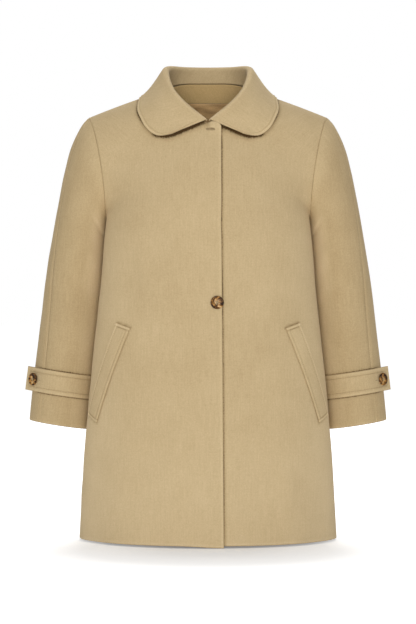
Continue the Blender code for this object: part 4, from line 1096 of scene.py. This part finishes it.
def collarShell():
    # the collar's sections with a sewn groove and a low ridge along the leaf's edge, and their mirror image
    middle, n, leafStart = collarSheet()
    onLeaf = np.zeros(middle.shape[:2])
    onLeaf[leafStart:] = ease(np.arange(middle.shape[0] - leafStart) / collarCut["leafFade"])[:, None]
    edgeRun = leastOf((fromEdge(middle, "top"), fromEdge(middle, "left")), 4)
    at, depth = collarCut["topstitch"], collarCut["grooveDepth"]
    relief = onLeaf * stitchGroove(edgeRun, at, depth, collarCut["grooveWidth"])
    ridge = np.exp(-((edgeRun - collarCut["ridgeAt"]) / collarCut["ridgeWidth"]) ** 2)
    relief = relief + onLeaf * collarCut["ridge"] * ridge
    middle = middle + relief[..., None] * n
    half = cloth["doubleWall"] / 2 * rolled(middle, top=collarCut["rimRoll"], foot=collarCut["footRoll"],
                                            left=collarCut["footRoll"])
    # painted light and shade: a lighter leaf, a painted highlight band by the rim, painted shade in the sewn
    # groove and at the rim, a painted highlight on the fold and painted shade on the stand
    band = ease((collarCut["bandAt"] - edgeRun) / collarCut["bandOver"])
    paintedShading = onLeaf * (collarCut["leafPaintedLight"] + collarCut["bandHighlight"] * band
                         + collarCut["grooveShade"] * stitchGroove(edgeRun, at, depth)
                         - paintedEdge["rimShade"] * np.exp(-(edgeRun / paintedEdge["rimWidth"]) ** 2))
    fromFold = np.arange(middle.shape[0]) - (leafStart - collarCut["foldBack"])  # rows from the fold's top
    fade = collarCut["standFade"]
    paintedShading += (collarCut["foldHighlight"] * np.exp(-(fromFold / collarCut["foldWidth"]) ** 2)
                 + collarCut["standShade"] * ease(-(fromFold + fade) / fade))[:, None]
    grids = ((middle, mirrorX), (n, mirrorX), (half, 1), (paintedShading, 1))
    whole = [np.concatenate((grid, grid[:, -2::-1] * flip), axis=1) for grid, flip in grids]
    return whole, (edgeRun, middle, n, leafStart)


collarParts, (edgeRun, halfMiddle, halfNormal, leafStart) = collarShell()
piece = place("turn_down_collar", shellMesh("collar", *collarParts), woolFinish, "collar")
rimLine = np.concatenate((halfMiddle[leafStart:, 0], halfMiddle[-1]))
# painted shadow of the leaf's rim on the back and the fronts, deeper under the front of the leaf
for side in (rightSide, leftSide):
    paintShadow(back, rimLine * (side, 1, 1), *collarCut["backShadow"])
    paintShadow(fronts[side], rimLine * (side, 1, 1), *collarCut["rimShadow"])
    frontLine = rimLine[(rimLine[:, 0] < collarCut["frontX"]) & (rimLine[:, 1] < 0)]
    paintShadow(fronts[side], frontLine * (side, 1, 1), *collarCut["frontShadow"])
print("collar made")

# pocket welts
weltCut = dict(topOuter=(53.6, -0.403), topInner=(42.4, -0.412),  # corners: turn in degrees and height
               footInner=(65.3, -0.575), footOuter=(79.0, -0.562),
               topstitch=0.0058, sewnSteps=np.array((-0.0016, -0.001, -0.0005, 0, 0.0005, 0.001, 0.0016)),
               width=0.037, length=0.172, across=22, rows=60, edgeRoll=0.0015, innerRoll=0.0060,
               grooveDepth=0.0007, grooveWidth=0.0010, grooveShade=90,
               nap=0.05, outerHighlight=0.14, outerAt=0.0068, outerOver=0.003,  # painted light over the welt, and a painted highlight along its outer edge
               # painted highlight by the ends, painted shade in the end and side edges and in the sewn lines
               endHighlight=0.14, endAt=0.0050, endOver=0.002, endGrooveShade=0.22, endGrooveWidth=0.0012,
               endShade=0.40, endShadeWidth=0.0013, sideShade=0.16, sideShadeWidth=0.0010,
               paintedShadow=0.75, shadowWidth=0.0022)


def weltPoint(w, v, lift):
    # point and normal on a welt: corners blended both ways in turn and height, then set on the front
    corners = [np.array((math.radians(a), z)) for a, z in
               (weltCut["topOuter"], weltCut["topInner"], weltCut["footInner"], weltCut["footOuter"])]
    w, v = w[..., None], v[..., None]
    spot = (1 - v) * ((1 - w) * corners[0] + w * corners[1]) + v * ((1 - w) * corners[3] + w * corners[2])
    t = (spot[..., 1] + bodyCut["length"]) / (bodyCut["underarm"] + bodyCut["length"])
    s = spot[..., 0] / rowEnds(t, frontFace)[2]
    n = bodyNormals(s, t, frontFace)
    return halfBody(s, t, frontFace) + lift * n, n


def weltSheet():  # a welt on the front, with a groove at an equal distance from all four edges
    near = tuple(weltCut["topstitch"] + weltCut["sewnSteps"])
    w, v = np.meshgrid(spread(weltCut["width"], weltCut["across"], near, near),
                       spread(weltCut["length"], weltCut["rows"], near, near))
    middle, n = weltPoint(w, v, cloth["restGap"] + cloth["doubleWall"] / 2)
    edgeRuns = [np.maximum(fromEdge(middle, edge), leastRun) for edge in ("left", "right", "foot", "top")]
    groove = stitchGroove(leastOf(edgeRuns, 6), weltCut["topstitch"], weltCut["grooveDepth"],
                          weltCut["grooveWidth"])
    middle = middle + groove[..., None] * n
    roll = weltCut["edgeRoll"]
    half = cloth["doubleWall"] / 2 * rolled(middle, left=roll, right=weltCut["innerRoll"],
                                            foot=roll, top=roll)
    outerRun, innerRun, topRun, footRun = edgeRuns
    endRun, sideRun = np.minimum(topRun, footRun), np.minimum(outerRun, innerRun)
    outerBand = ease((weltCut["outerAt"] - outerRun) / weltCut["outerOver"])
    endBand = ease((weltCut["endAt"] - endRun) / weltCut["endOver"])
    sewnEnd = np.exp(-((endRun - weltCut["topstitch"]) / weltCut["endGrooveWidth"]) ** 2)
    # painted light over the welt, painted highlights by its edges, painted shade in its grooves and at its
    # ends and sides
    paintedShading = weltCut["nap"] + weltCut["outerHighlight"] * outerBand + weltCut["grooveShade"] * groove
    paintedShading += weltCut["endHighlight"] * endBand - weltCut["endGrooveShade"] * sewnEnd
    paintedShading -= (weltCut["endShade"] * np.exp(-(endRun / weltCut["endShadeWidth"]) ** 2)
                 + weltCut["sideShade"] * np.exp(-(sideRun / weltCut["sideShadeWidth"]) ** 2))
    return middle, n, half, paintedShading


for word, side in bothSides:
    mesh = shellMesh("welt", *weltSheet(), side)
    piece = place("welt_" + word, mesh, woolFinish, "pocket_welt_" + word)
    across = np.linspace(0.04, 0.96, 24)
    for end in (0.0, 1.0):  # painted shadow beside the short ends
        endLine = weltPoint(across, np.full_like(across, end), 0.0)[0] * (side, 1, 1)
        paintShadow(fronts[side], endLine, weltCut["paintedShadow"], weltCut["shadowWidth"])
print("welts made")

# cuff tabs
tabCut = dict(top=0.829, foot=0.905, depth=0.044, free=0.037,
              liftOff=math.radians(45), root=math.radians(176),
              across=90, rows=26, edgeRoll=0.0015, rootRoll=0.0012,
              # the groove is darkened as painted shade; the last line sets the painted shadow on the sleeve
              # beside the tab's edges
              topstitch=0.0082, grooveDepth=0.0006, grooveWidth=0.0011, grooveShade=80,
              topShadow=0.80, footShadow=1.0, shadowWidth=0.0020, shadowRun=(-0.14, 0.012),
              buttonAt=0.0155, holeFrom=0.0020, holeTo=-0.0020)


def tabPoint(run, v, lift):
    # run in metres from the lift-off: positive along the straight free end, negative back round the sleeve
    t = tabCut["top"] + (tabCut["foot"] - tabCut["top"]) * v
    leave = np.full_like(t, tabCut["liftOff"])
    n0 = normalsOf(sleeveAt, leave, t)
    way = unit(sleeveAt(leave - 0.01, t) - sleeveAt(leave, t))
    way = unit(way - n0 * dot(way, n0))
    turnTable = np.linspace(tabCut["liftOff"], tabCut["root"], 200)
    middleRow = np.full_like(turnTable, (tabCut["top"] + tabCut["foot"]) / 2)
    arc = runLength(sleeveAt(turnTable, middleRow)[None], 1)[0]
    turn = np.interp(np.maximum(-run, 0), arc, turnTable)
    n = normalsOf(sleeveAt, turn, t)
    straight = (run > 0)[..., None]
    base = np.where(straight, sleeveAt(leave, t) + np.maximum(run, 0)[..., None] * way, sleeveAt(turn, t))
    n = np.where(straight, n0, n)
    return base + lift * n, n, arc[-1]


def tabSheet():  # a strap round the cuff, with a groove at an equal distance from three edges
    around = tabPoint(np.zeros(1), np.zeros(1), 0)[2]
    near = tuple(tabCut["topstitch"] + sewnSteps)
    length = around + tabCut["free"]
    c, v = np.meshgrid(spread(length, tabCut["across"], (), near),
                       spread(tabCut["depth"], tabCut["rows"], near, near))
    middle, n, _ = tabPoint(c * length - around, v, cloth["restGap"] + cloth["doubleWall"] / 2)
    edgeLeast = leastOf([fromEdge(middle, edge) for edge in ("right", "foot", "top")], 6)
    groove = stitchGroove(edgeLeast, tabCut["topstitch"], tabCut["grooveDepth"], tabCut["grooveWidth"])
    middle = middle + groove[..., None] * n
    roll = tabCut["edgeRoll"]
    half = cloth["doubleWall"] / 2 * rolled(middle, left=tabCut["rootRoll"], right=roll, foot=roll, top=roll)
    # painted highlights and painted shade at the edges, painted shade in the groove
    return middle, n, half, paintedFoldShading(edgeLeast) + tabCut["grooveShade"] * groove


for word, side in bothSides:
    mesh = shellMesh("tab", *tabSheet(), side)
    piece = place("tab_" + word, mesh, woolFinish, "cuff_tab_" + word)
    # painted shadow on the sleeve along the tab's top and foot edges
    run = np.linspace(*tabCut["shadowRun"], 170)
    for edge, share in ((0.0, tabCut["topShadow"]), (1.0, tabCut["footShadow"])):
        edgeLine = tabPoint(run, np.full_like(run, edge), 0.0)[0] * (side, 1, 1)
        for face in (frontFace, backFace):
            paintShadow(sleeves[side, face], edgeLine, share, tabCut["shadowWidth"])
print("tabs made")

# buttons
buttonCut = dict(radius=0.01125, height=0.0040, holeRadius=0.0011, holeSpread=0.0022, sides=72, holeSides=20,
                 frontX=0.0153, frontZ=-0.369, frontTurn=0.3, cuffTurns=(0.5, 1.1), sharp=math.radians(40),
                 strand=0.00042, strandGap=0.00045, strandBow=1.2, strandLift=0.0003, crossLift=0.0004)
buttonSection = columns(
    ("radius", "height"),
    (0.000, 0.70), (0.300, 0.70), (0.560, 0.70), (0.640, 0.73), (0.720, 0.87), (0.790, 0.985), (0.850, 1.00),
    (0.910, 0.96), (0.960, 0.85), (0.990, 0.70), (1.000, 0.58), (0.975, 0.40), (0.880, 0.17), (0.740, 0.04),
    (0.600, 0.00), (0.000, 0.00))


def turnedMesh(name, radii, heights, sides):  # profile turned round Z, its poles closed by welding
    angle = np.linspace(0, 2 * math.pi, sides, endpoint=False)
    grid = points3(radii[:, None] * np.cos(angle), radii[:, None] * np.sin(angle), heights[:, None])
    quads = ringFaces(np.arange(grid.shape[0] * sides).reshape(-1, sides))[:, ::-1]
    mesh = bpy.data.meshes.new(name)
    mesh.from_pydata(grid.reshape(-1, 3).tolist(), [], quads.tolist())
    weld(mesh, fineWeldGap, True)
    return mesh


def buttonBlank():  # turned button with four thread holes cut through it
    radii = buttonCut["radius"] * buttonSection["radius"]
    heights = buttonCut["height"] * buttonSection["height"]
    blank = bpy.data.objects.new("blank", turnedMesh("blank", radii, heights, buttonCut["sides"]))
    holes = bmesh.new()
    radius, apart = buttonCut["holeRadius"], buttonCut["holeSpread"]
    for x, y in ((-apart, -apart), (-apart, apart), (apart, -apart), (apart, apart)):
        made = bmesh.ops.create_cone(holes, cap_ends=True, segments=buttonCut["holeSides"], radius1=radius,
                                     radius2=radius, depth=4 * buttonCut["height"])
        bmesh.ops.translate(holes, verts=made["verts"], vec=(x, y, 0))
    holeMesh = bpy.data.meshes.new("holes")
    holes.to_mesh(holeMesh)
    holes.free()
    cutter = bpy.data.objects.new("holes", holeMesh)
    for thing in (blank, cutter):
        bpy.context.scene.collection.objects.link(thing)
    cut = blank.modifiers.new("holes", "BOOLEAN")
    cut.operation, cut.solver, cut.object = "DIFFERENCE", "EXACT", cutter
    bpy.context.view_layer.update()
    mesh = bpy.data.meshes.new_from_object(blank.evaluated_get(bpy.context.evaluated_depsgraph_get()))
    for thing in (blank, cutter):
        bpy.data.objects.remove(thing, do_unlink=True)
    return mesh


def frameOf(n, up=(0.0, 0.0, 1.0)):  # axes across, up and out at a seat
    n = np.array(n)
    across = unit(np.cross(np.array(up), n))
    return np.stack((across, np.cross(n, across), n))


def spinOf(turn):  # matrix of a turn round Z
    c, s = math.cos(turn), math.sin(turn)
    return np.array(((c, s, 0), (-s, c, 0), (0, 0, 1)))


def seated(mesh, name, seat, axes, side=1, turn=0.0):  # copy of a mesh set on a seat, its place in the mesh
    made = mesh.copy()
    made.name = name
    co = np.empty(len(made.vertices) * 3, np.float32)
    made.vertices.foreach_get("co", co)
    spun = co.reshape(-1, 3) @ spinOf(turn)
    done = (spun @ axes + seat) * (side, 1, 1)
    made.vertices.foreach_set("co", done.astype(np.float32).ravel())
    # painted highlight in the button's dish, painted shade at its rim
    out = np.linalg.norm(spun[:, :2], axis=1) / buttonCut["radius"]
    tone = shell["dishHighlight"] * ease((shell["dishEdge"] - out) / shell["dishBlend"]) - shell["rimShade"]
    paintedDishLight = made.attributes.new("paintedDishLight", "FLOAT", "POINT")
    paintedDishLight.data.foreach_set("value", tone.astype(np.float32))
    if side < 0:
        made.flip_normals()
    made.shade_smooth()
    made.set_sharp_from_angle(angle=buttonCut["sharp"])
    return made


def frontSpot(x, z, lift):  # seat and normal on the lap at a place seen from the front
    underarm = bodyCut["underarm"]
    if z < underarm:
        row = (z + bodyCut["length"]) / (underarm + bodyCut["length"])
    else:
        row = 1 + bodyCut["frontNeckShare"] * (z - underarm) / (bodyCut["neckFrontZ"] - underarm)
    t = np.array([row])
    _, side, end = rowEnds(t, frontFace)
    s = np.arcsin(x * arcShare(end, t, frontFace)[0] / side[:, 0]) / end
    n = bodyNormals(s, t, frontFace)[0]
    seat = halfBody(s, t, frontFace)[0] + n * lift
    seat[1] -= lapCut["lift"]
    return seat + lapTurn(x, z), n


stitchCut = dict(pitch=0.0034, length=0.0025, radius=0.00032, sides=6,
                 collarSink=0.0002, sleeveSink=0.0003, strapSink=0.0004)  # how deep the stitches lie


def capsuleMesh(name, start, stop, up, radius, bow=0.6, sides=6):
    # one thread per row of start and stop: a round section carried over seven stations,
    # its middle raised by a sine between sunk ends
    along = stop - start
    side = unit(np.cross(up, along))
    up = unit(np.cross(along, side))
    w = np.array((0.0, 0.04, 0.2, 0.5, 0.8, 0.96, 1.0))
    girthShare = np.array((0.0, 0.6, 0.95, 1.0, 0.95, 0.6, 0.0))
    lift = bow * np.sin(math.pi * w) - 0.35 * bow
    angle = np.linspace(0, 2 * math.pi, sides, endpoint=False)
    centre = start[:, None] + along[:, None] * w[:, None] + up[:, None] * (radius * lift)[:, None]
    ring = (np.cos(angle)[:, None] * side[:, None, None] + np.sin(angle)[:, None] * up[:, None, None])
    grid = centre[:, :, None] + radius * girthShare[:, None, None] * ring
    count = len(w) * sides
    quads = ringFaces(np.arange(count).reshape(len(w), sides))
    faces = (quads[None] + count * np.arange(len(start))[:, None, None]).reshape(-1, 4)
    mesh = bpy.data.meshes.new(name)
    mesh.from_pydata(grid.reshape(-1, 3).tolist(), [], faces.tolist())
    mesh.uv_layers.new(name="grain")
    weld(mesh, fineWeldGap, True)
    mesh.shade_smooth()
    return mesh


def stitchesAlong(path, up, lift=0.0):  # equal stitches along a path: start, stop and up of each
    run = runLength(path[None], 1)[0]
    begin = np.arange(stitchCut["pitch"] / 2, run[-1] - stitchCut["length"], stitchCut["pitch"])
    at = lambda where, values: np.stack([np.interp(where, run, values[:, k]) for k in range(3)], -1)
    lifted = path + lift * up
    return at(begin, lifted), at(begin + stitchCut["length"], lifted), at(begin + stitchCut["length"] / 2, up)


def stitchPiece(name, runs, radius=stitchCut["radius"]):  # all stitches of some runs as one piece
    start, stop, up = (np.concatenate(parts) for parts in zip(*runs))
    mesh = capsuleMesh(name, start, stop, up, radius, sides=stitchCut["sides"])
    return place(name, mesh, threadFinish)


def mirrored(runs):  # runs of stitches and their mirror images
    return runs + [tuple(part * mirrorX for part in run) for run in runs]


def threadCross(name, seat, axes, side, turn):  # three strands each way between opposite holes
    hole = buttonCut["holeSpread"]
    offset = buttonCut["strandGap"] * np.array((-1, 0, 1))
    top = buttonCut["height"] * 0.70 + buttonCut["strandLift"]
    over = top + buttonCut["crossLift"]
    starts = (points3(-hole + offset, -hole - offset, top), points3(-hole + offset, hole + offset, over))
    stops = (points3(hole + offset, hole - offset, top), points3(hole + offset, -hole + offset, over))
    spin, flip = spinOf(turn), np.array((side, 1, 1))
    start, stop = ((np.concatenate(ends) @ spin @ axes + seat) * flip for ends in (starts, stops))
    up = np.repeat([axes[2] * flip], len(start), 0)
    mesh = capsuleMesh(name, start, stop, up, buttonCut["strand"], buttonCut["strandBow"])
    return place(name, mesh, threadFinish)


blank = buttonBlank()
seat, n = frontSpot(buttonCut["frontX"], buttonCut["frontZ"], cloth["restGap"])
turn = buttonCut["frontTurn"]
mesh = seated(blank, "front_button", seat, frameOf(n), turn=turn)
place("front_button", mesh, buttonFinish, "button_front")
threadCross("front_button_thread", seat, frameOf(n), 1, turn)
tabMiddle = np.array([0.5])
seat, n, _ = tabPoint(np.array([tabCut["buttonAt"]]), tabMiddle, 2 * cloth["restGap"] + cloth["doubleWall"])
axes = frameOf(n[0])
for (word, side), turn in zip(bothSides, buttonCut["cuffTurns"]):
    mesh = seated(blank, "cuff_button", seat[0], axes, side, turn)
    place("cuff_button_" + word, mesh, buttonFinish, "button_cuff_" + word)
    threadCross("cuff_button_thread_" + word, seat[0], axes, side, turn)
bpy.data.meshes.remove(blank)
print("buttons made")

# sewing
def collarStitchPath():  # line at the topstitch distance: in from the end edge, then along the rim
    surface = halfMiddle + (cloth["doubleWall"] / 2) * halfNormal
    leaf, normal, run = surface[leafStart:], halfNormal[leafStart:], edgeRun[leafStart:]
    at = collarCut["topstitch"]
    cols = np.arange(leaf.shape[1])
    below = run > at
    hasPoint = below.any(axis=0)
    last = leaf.shape[0] - 1 - np.argmax(below[::-1], axis=0)
    low = np.minimum(last, leaf.shape[0] - 2)
    a, b = run[low, cols], run[low + 1, cols]
    w = np.clip((a - at) / np.maximum(a - b, 1e-7), 0, 1)[:, None]
    path = leaf[low, cols] * (1 - w) + leaf[low + 1, cols] * w
    rimPath, rimUp = path[hasPoint], normal[low, cols][hasPoint]
    firstCol = np.argmax(hasPoint)
    rows = np.arange(4, leaf.shape[0] - 14)
    first = np.argmax(run[rows] > at, axis=1)
    good = (run[rows].max(axis=1) > at) & (first > 0) & (rows < low[firstCol])
    rows, first = rows[good], first[good]
    a, b = run[rows, first - 1], run[rows, first]
    w = ((at - a) / np.maximum(b - a, 1e-7))[:, None]
    endPath = leaf[rows, first - 1] * (1 - w) + leaf[rows, first] * w
    return np.concatenate((endPath, rimPath)), np.concatenate((normal[rows, first], rimUp))


path, up = collarStitchPath()
stitchPiece("collar_stitching", mirrored([stitchesAlong(path, up, -stitchCut["collarSink"])]))


def sleeveStitchPath():  # line beside the overarm seam on the front half
    t = np.linspace(0.03, sleeveCut["seamEnd"], 200)
    turn = overarmSeam(t)
    reach = np.linalg.norm(sleeveAt(turn + 0.01, t) - sleeveAt(turn, t), axis=1) / 0.01
    turn = turn + sleeveCut["topstitch"] / reach
    return sleeveAt(turn, t), normalsOf(sleeveAt, turn, t)


path, up = sleeveStitchPath()
stitchPiece("sleeve_stitching", mirrored([stitchesAlong(path, up, -stitchCut["sleeveSink"])]))


def weltStitchPaths():  # two long and two short lines, all at the inset from the edges
    inset, length, width = weltCut["topstitch"], weltCut["length"], weltCut["width"]
    v = np.linspace(inset / length, 1 - inset / length, 120)
    w = np.linspace(inset / width, 1 - inset / width, 24)
    lift = cloth["restGap"] + cloth["doubleWall"]
    runs = [weltPoint(np.full_like(v, side), v, lift) for side in (inset / width, 1 - inset / width)]
    runs += [weltPoint(w, np.full_like(w, end), lift) for end in (inset / length, 1 - inset / length)]
    return [stitchesAlong(path, up, -stitchCut["strapSink"]) for path, up in runs]


stitchPiece("welt_stitching", mirrored(weltStitchPaths()))


def tabStitchPaths():  # two lines along the strap and one across its free end
    inset, depth = tabCut["topstitch"], tabCut["depth"]
    lift = cloth["restGap"] + cloth["doubleWall"]
    around = tabPoint(np.zeros(1), np.zeros(1), 0)[2]
    run = np.linspace(0.003 - around, tabCut["free"] - inset, 160)
    down = np.linspace(inset / depth, 1 - inset / depth, 30)
    lines = [tabPoint(run, np.full_like(run, v), lift)[:2] for v in (inset / depth, 1 - inset / depth)]
    lines.append(tabPoint(np.full_like(down, tabCut["free"] - inset), down, lift)[:2])
    return [stitchesAlong(path, up, -stitchCut["strapSink"]) for path, up in lines]


stitchPiece("tab_stitching", mirrored(tabStitchPaths()))

buttonhole = dict(centreX=0.0042, z=-0.0722, length=0.0150, reach=0.0029, slit=0.0004, count=18,
                  thread=0.00048)


def buttonholeStitches():
    # close bars on both sides of a slit, their length rounded off towards its ends
    x = np.linspace(-0.5, 0.5, buttonhole["count"]) * buttonhole["length"]
    rise = lapTurn(-x - buttonhole["centreX"], buttonhole["z"])[:, 2]
    spots = [frontSpot(-at, z, 0.0001) for at, z in zip(x + buttonhole["centreX"], buttonhole["z"] - rise)]
    middle = np.array([seat for seat, _ in spots]) * mirrorX
    up = np.array([n for _, n in spots]) * mirrorX
    drop = unit(np.cross(up, np.gradient(middle, axis=0)))
    reach = buttonhole["reach"] * np.sqrt(1 - 0.7 * (2 * x / buttonhole["length"]) ** 2)[:, None]
    bars = [(middle + sign * buttonhole["slit"] * drop, middle + sign * reach * drop, up) for sign in (-1, 1)]
    return bars, (middle[:-1], middle[1:], up[:-1])


bars, slit = buttonholeStitches()
stitchPiece("top_buttonhole", bars, buttonhole["thread"])
# a dark strip in the slit: painted shade
place("top_buttonhole_slit", capsuleMesh("slit", *slit, buttonhole["slit"], 0.2), slitShadeFinish)
# dark strips in the tab's buttonholes: painted shade
spot, up, _ = tabPoint(np.array((tabCut["holeFrom"], tabCut["holeTo"])), np.array((0.5, 0.5)),
                       cloth["restGap"] + cloth["doubleWall"])
runs = mirrored([(spot[:1], spot[1:], up[:1])])
slits = capsuleMesh("slits", *(np.concatenate(parts) for parts in zip(*runs)), buttonhole["thread"], 0.4)
place("tab_buttonhole_slits", slits, slitShadeFinish)
print("sewing made")

# stage
stageSet = dict(lens=131.9, sensor=36.0, cameraSpot=(0.0, -4.0, -0.385), farEnd=100.0, world=0.33,
                floorZ=-0.7815, floorReach=60, floorTone=(0.86, 0.86, 0.86, 1.0),
                # the floor's glow is dimmer on an oval under and just in front of the coat: a painted shadow
                floorGlowAndShadow=((0.03, 0.16), (0.09, 0.30), (0.13, 0.58), (0.20, 0.76)),
                floorShadowOval=(2.3, 2.3), floorShadowShift=0.20, floorGlowOnCoat=0.3)
stageLights = (  # name, power, size, place and aim
    ("key", 28.0, 2.0, (-0.3, -4.2, 3.4), (0.0, 0.0, -0.35)),
    ("fill", 115.0, 2.0, (-0.1, -4.6, -0.25), (0.0, 0.0, -0.4)),
    ("top", 44.0, 2.4, (0.0, 0.6, 3.4), (0.0, 0.0, -0.6)),
    ("rear", 75.0, 2.4, (0.4, 4.4, 2.8), (0.0, 0.0, -0.4)))

camera = bpy.data.objects.new("camera", bpy.data.cameras.new("camera"))
camera.data.lens, camera.data.sensor_width = stageSet["lens"], stageSet["sensor"]
camera.location, camera.rotation_euler = stageSet["cameraSpot"], (math.radians(90), 0.0, 0.0)
camera.data.clip_end = stageSet["farEnd"]
bpy.context.scene.collection.objects.link(camera)
bpy.context.scene.camera = camera


def areaLight(name, power, size, spot, aim):  # round lamp turned to its aim
    light = bpy.data.objects.new(name, bpy.data.lights.new(name, "AREA"))
    light.data.energy, light.data.size, light.data.shape = power, size, "DISK"
    light.location = spot
    light.rotation_euler = (Vector(aim) - Vector(spot)).to_track_quat("-Z", "Y").to_euler()
    bpy.context.scene.collection.objects.link(light)


def seenMix(tree, other):  # a strength that is 1 for the camera's own rays and another value for the rest
    mix = addNode(tree, "ShaderNodeMix", data_type="FLOAT")
    mix.inputs[2].default_value, mix.inputs[3].default_value = other, 1.0
    tree.links.new(addNode(tree, "ShaderNodeLightPath").outputs["Is Camera Ray"], mix.inputs[0])
    return mix.outputs[0]


for light in stageLights:
    areaLight(*light)

floorMesh = bpy.data.meshes.new("floor")
reach, z = stageSet["floorReach"], stageSet["floorZ"]
corners = [(-reach, -reach, z), (reach, -reach, z), (reach, reach, z), (-reach, reach, z)]
floorMesh.from_pydata(corners, [], [(0, 1, 2, 3)])
floor = bpy.data.objects.new("floor", floorMesh)
bpy.context.scene.collection.objects.link(floor)
paper, tree, shader = newFinish("paleFloor")  # glowing paper, dimmer on an oval under the coat as a painted shadow
spot = addNode(tree, "ShaderNodeTexCoord").outputs["Object"]
ovalX, ovalY = stageSet["floorShadowOval"]
squeezed = mapped(tree, spot, Location=(0.0, stageSet["floorShadowShift"] / ovalY, 0.0),
                  Scale=(1 / ovalX, 1 / ovalY, 0.0))
away = addNode(tree, "ShaderNodeVectorMath", operation="LENGTH")
tree.links.new(squeezed, away.inputs[0])
greys = [(at, (tone, tone, tone)) for at, tone in stageSet["floorGlowAndShadow"]]
glow = colourRamp(tree, away.outputs["Value"], greys)
tree.links.new(glow, shader.inputs["Emission Color"])
setInputs(shader, Base_Color=stageSet["floorTone"], Roughness=1.0, Specular_IOR_Level=0.0)
tree.links.new(seenMix(tree, stageSet["floorGlowOnCoat"]), shader.inputs["Emission Strength"])
floorMesh.materials.append(paper)

world = bpy.data.worlds.new("studio")
bpy.context.scene.world = world
world.use_nodes = True
tree = world.node_tree
background = setInputs(tree.nodes["Background"], Color=(1.0, 1.0, 1.0, 1.0))
tree.links.new(seenMix(tree, stageSet["world"]), background.inputs["Strength"])
bpy.context.scene.view_settings.view_transform = "Standard"
print("stage made")
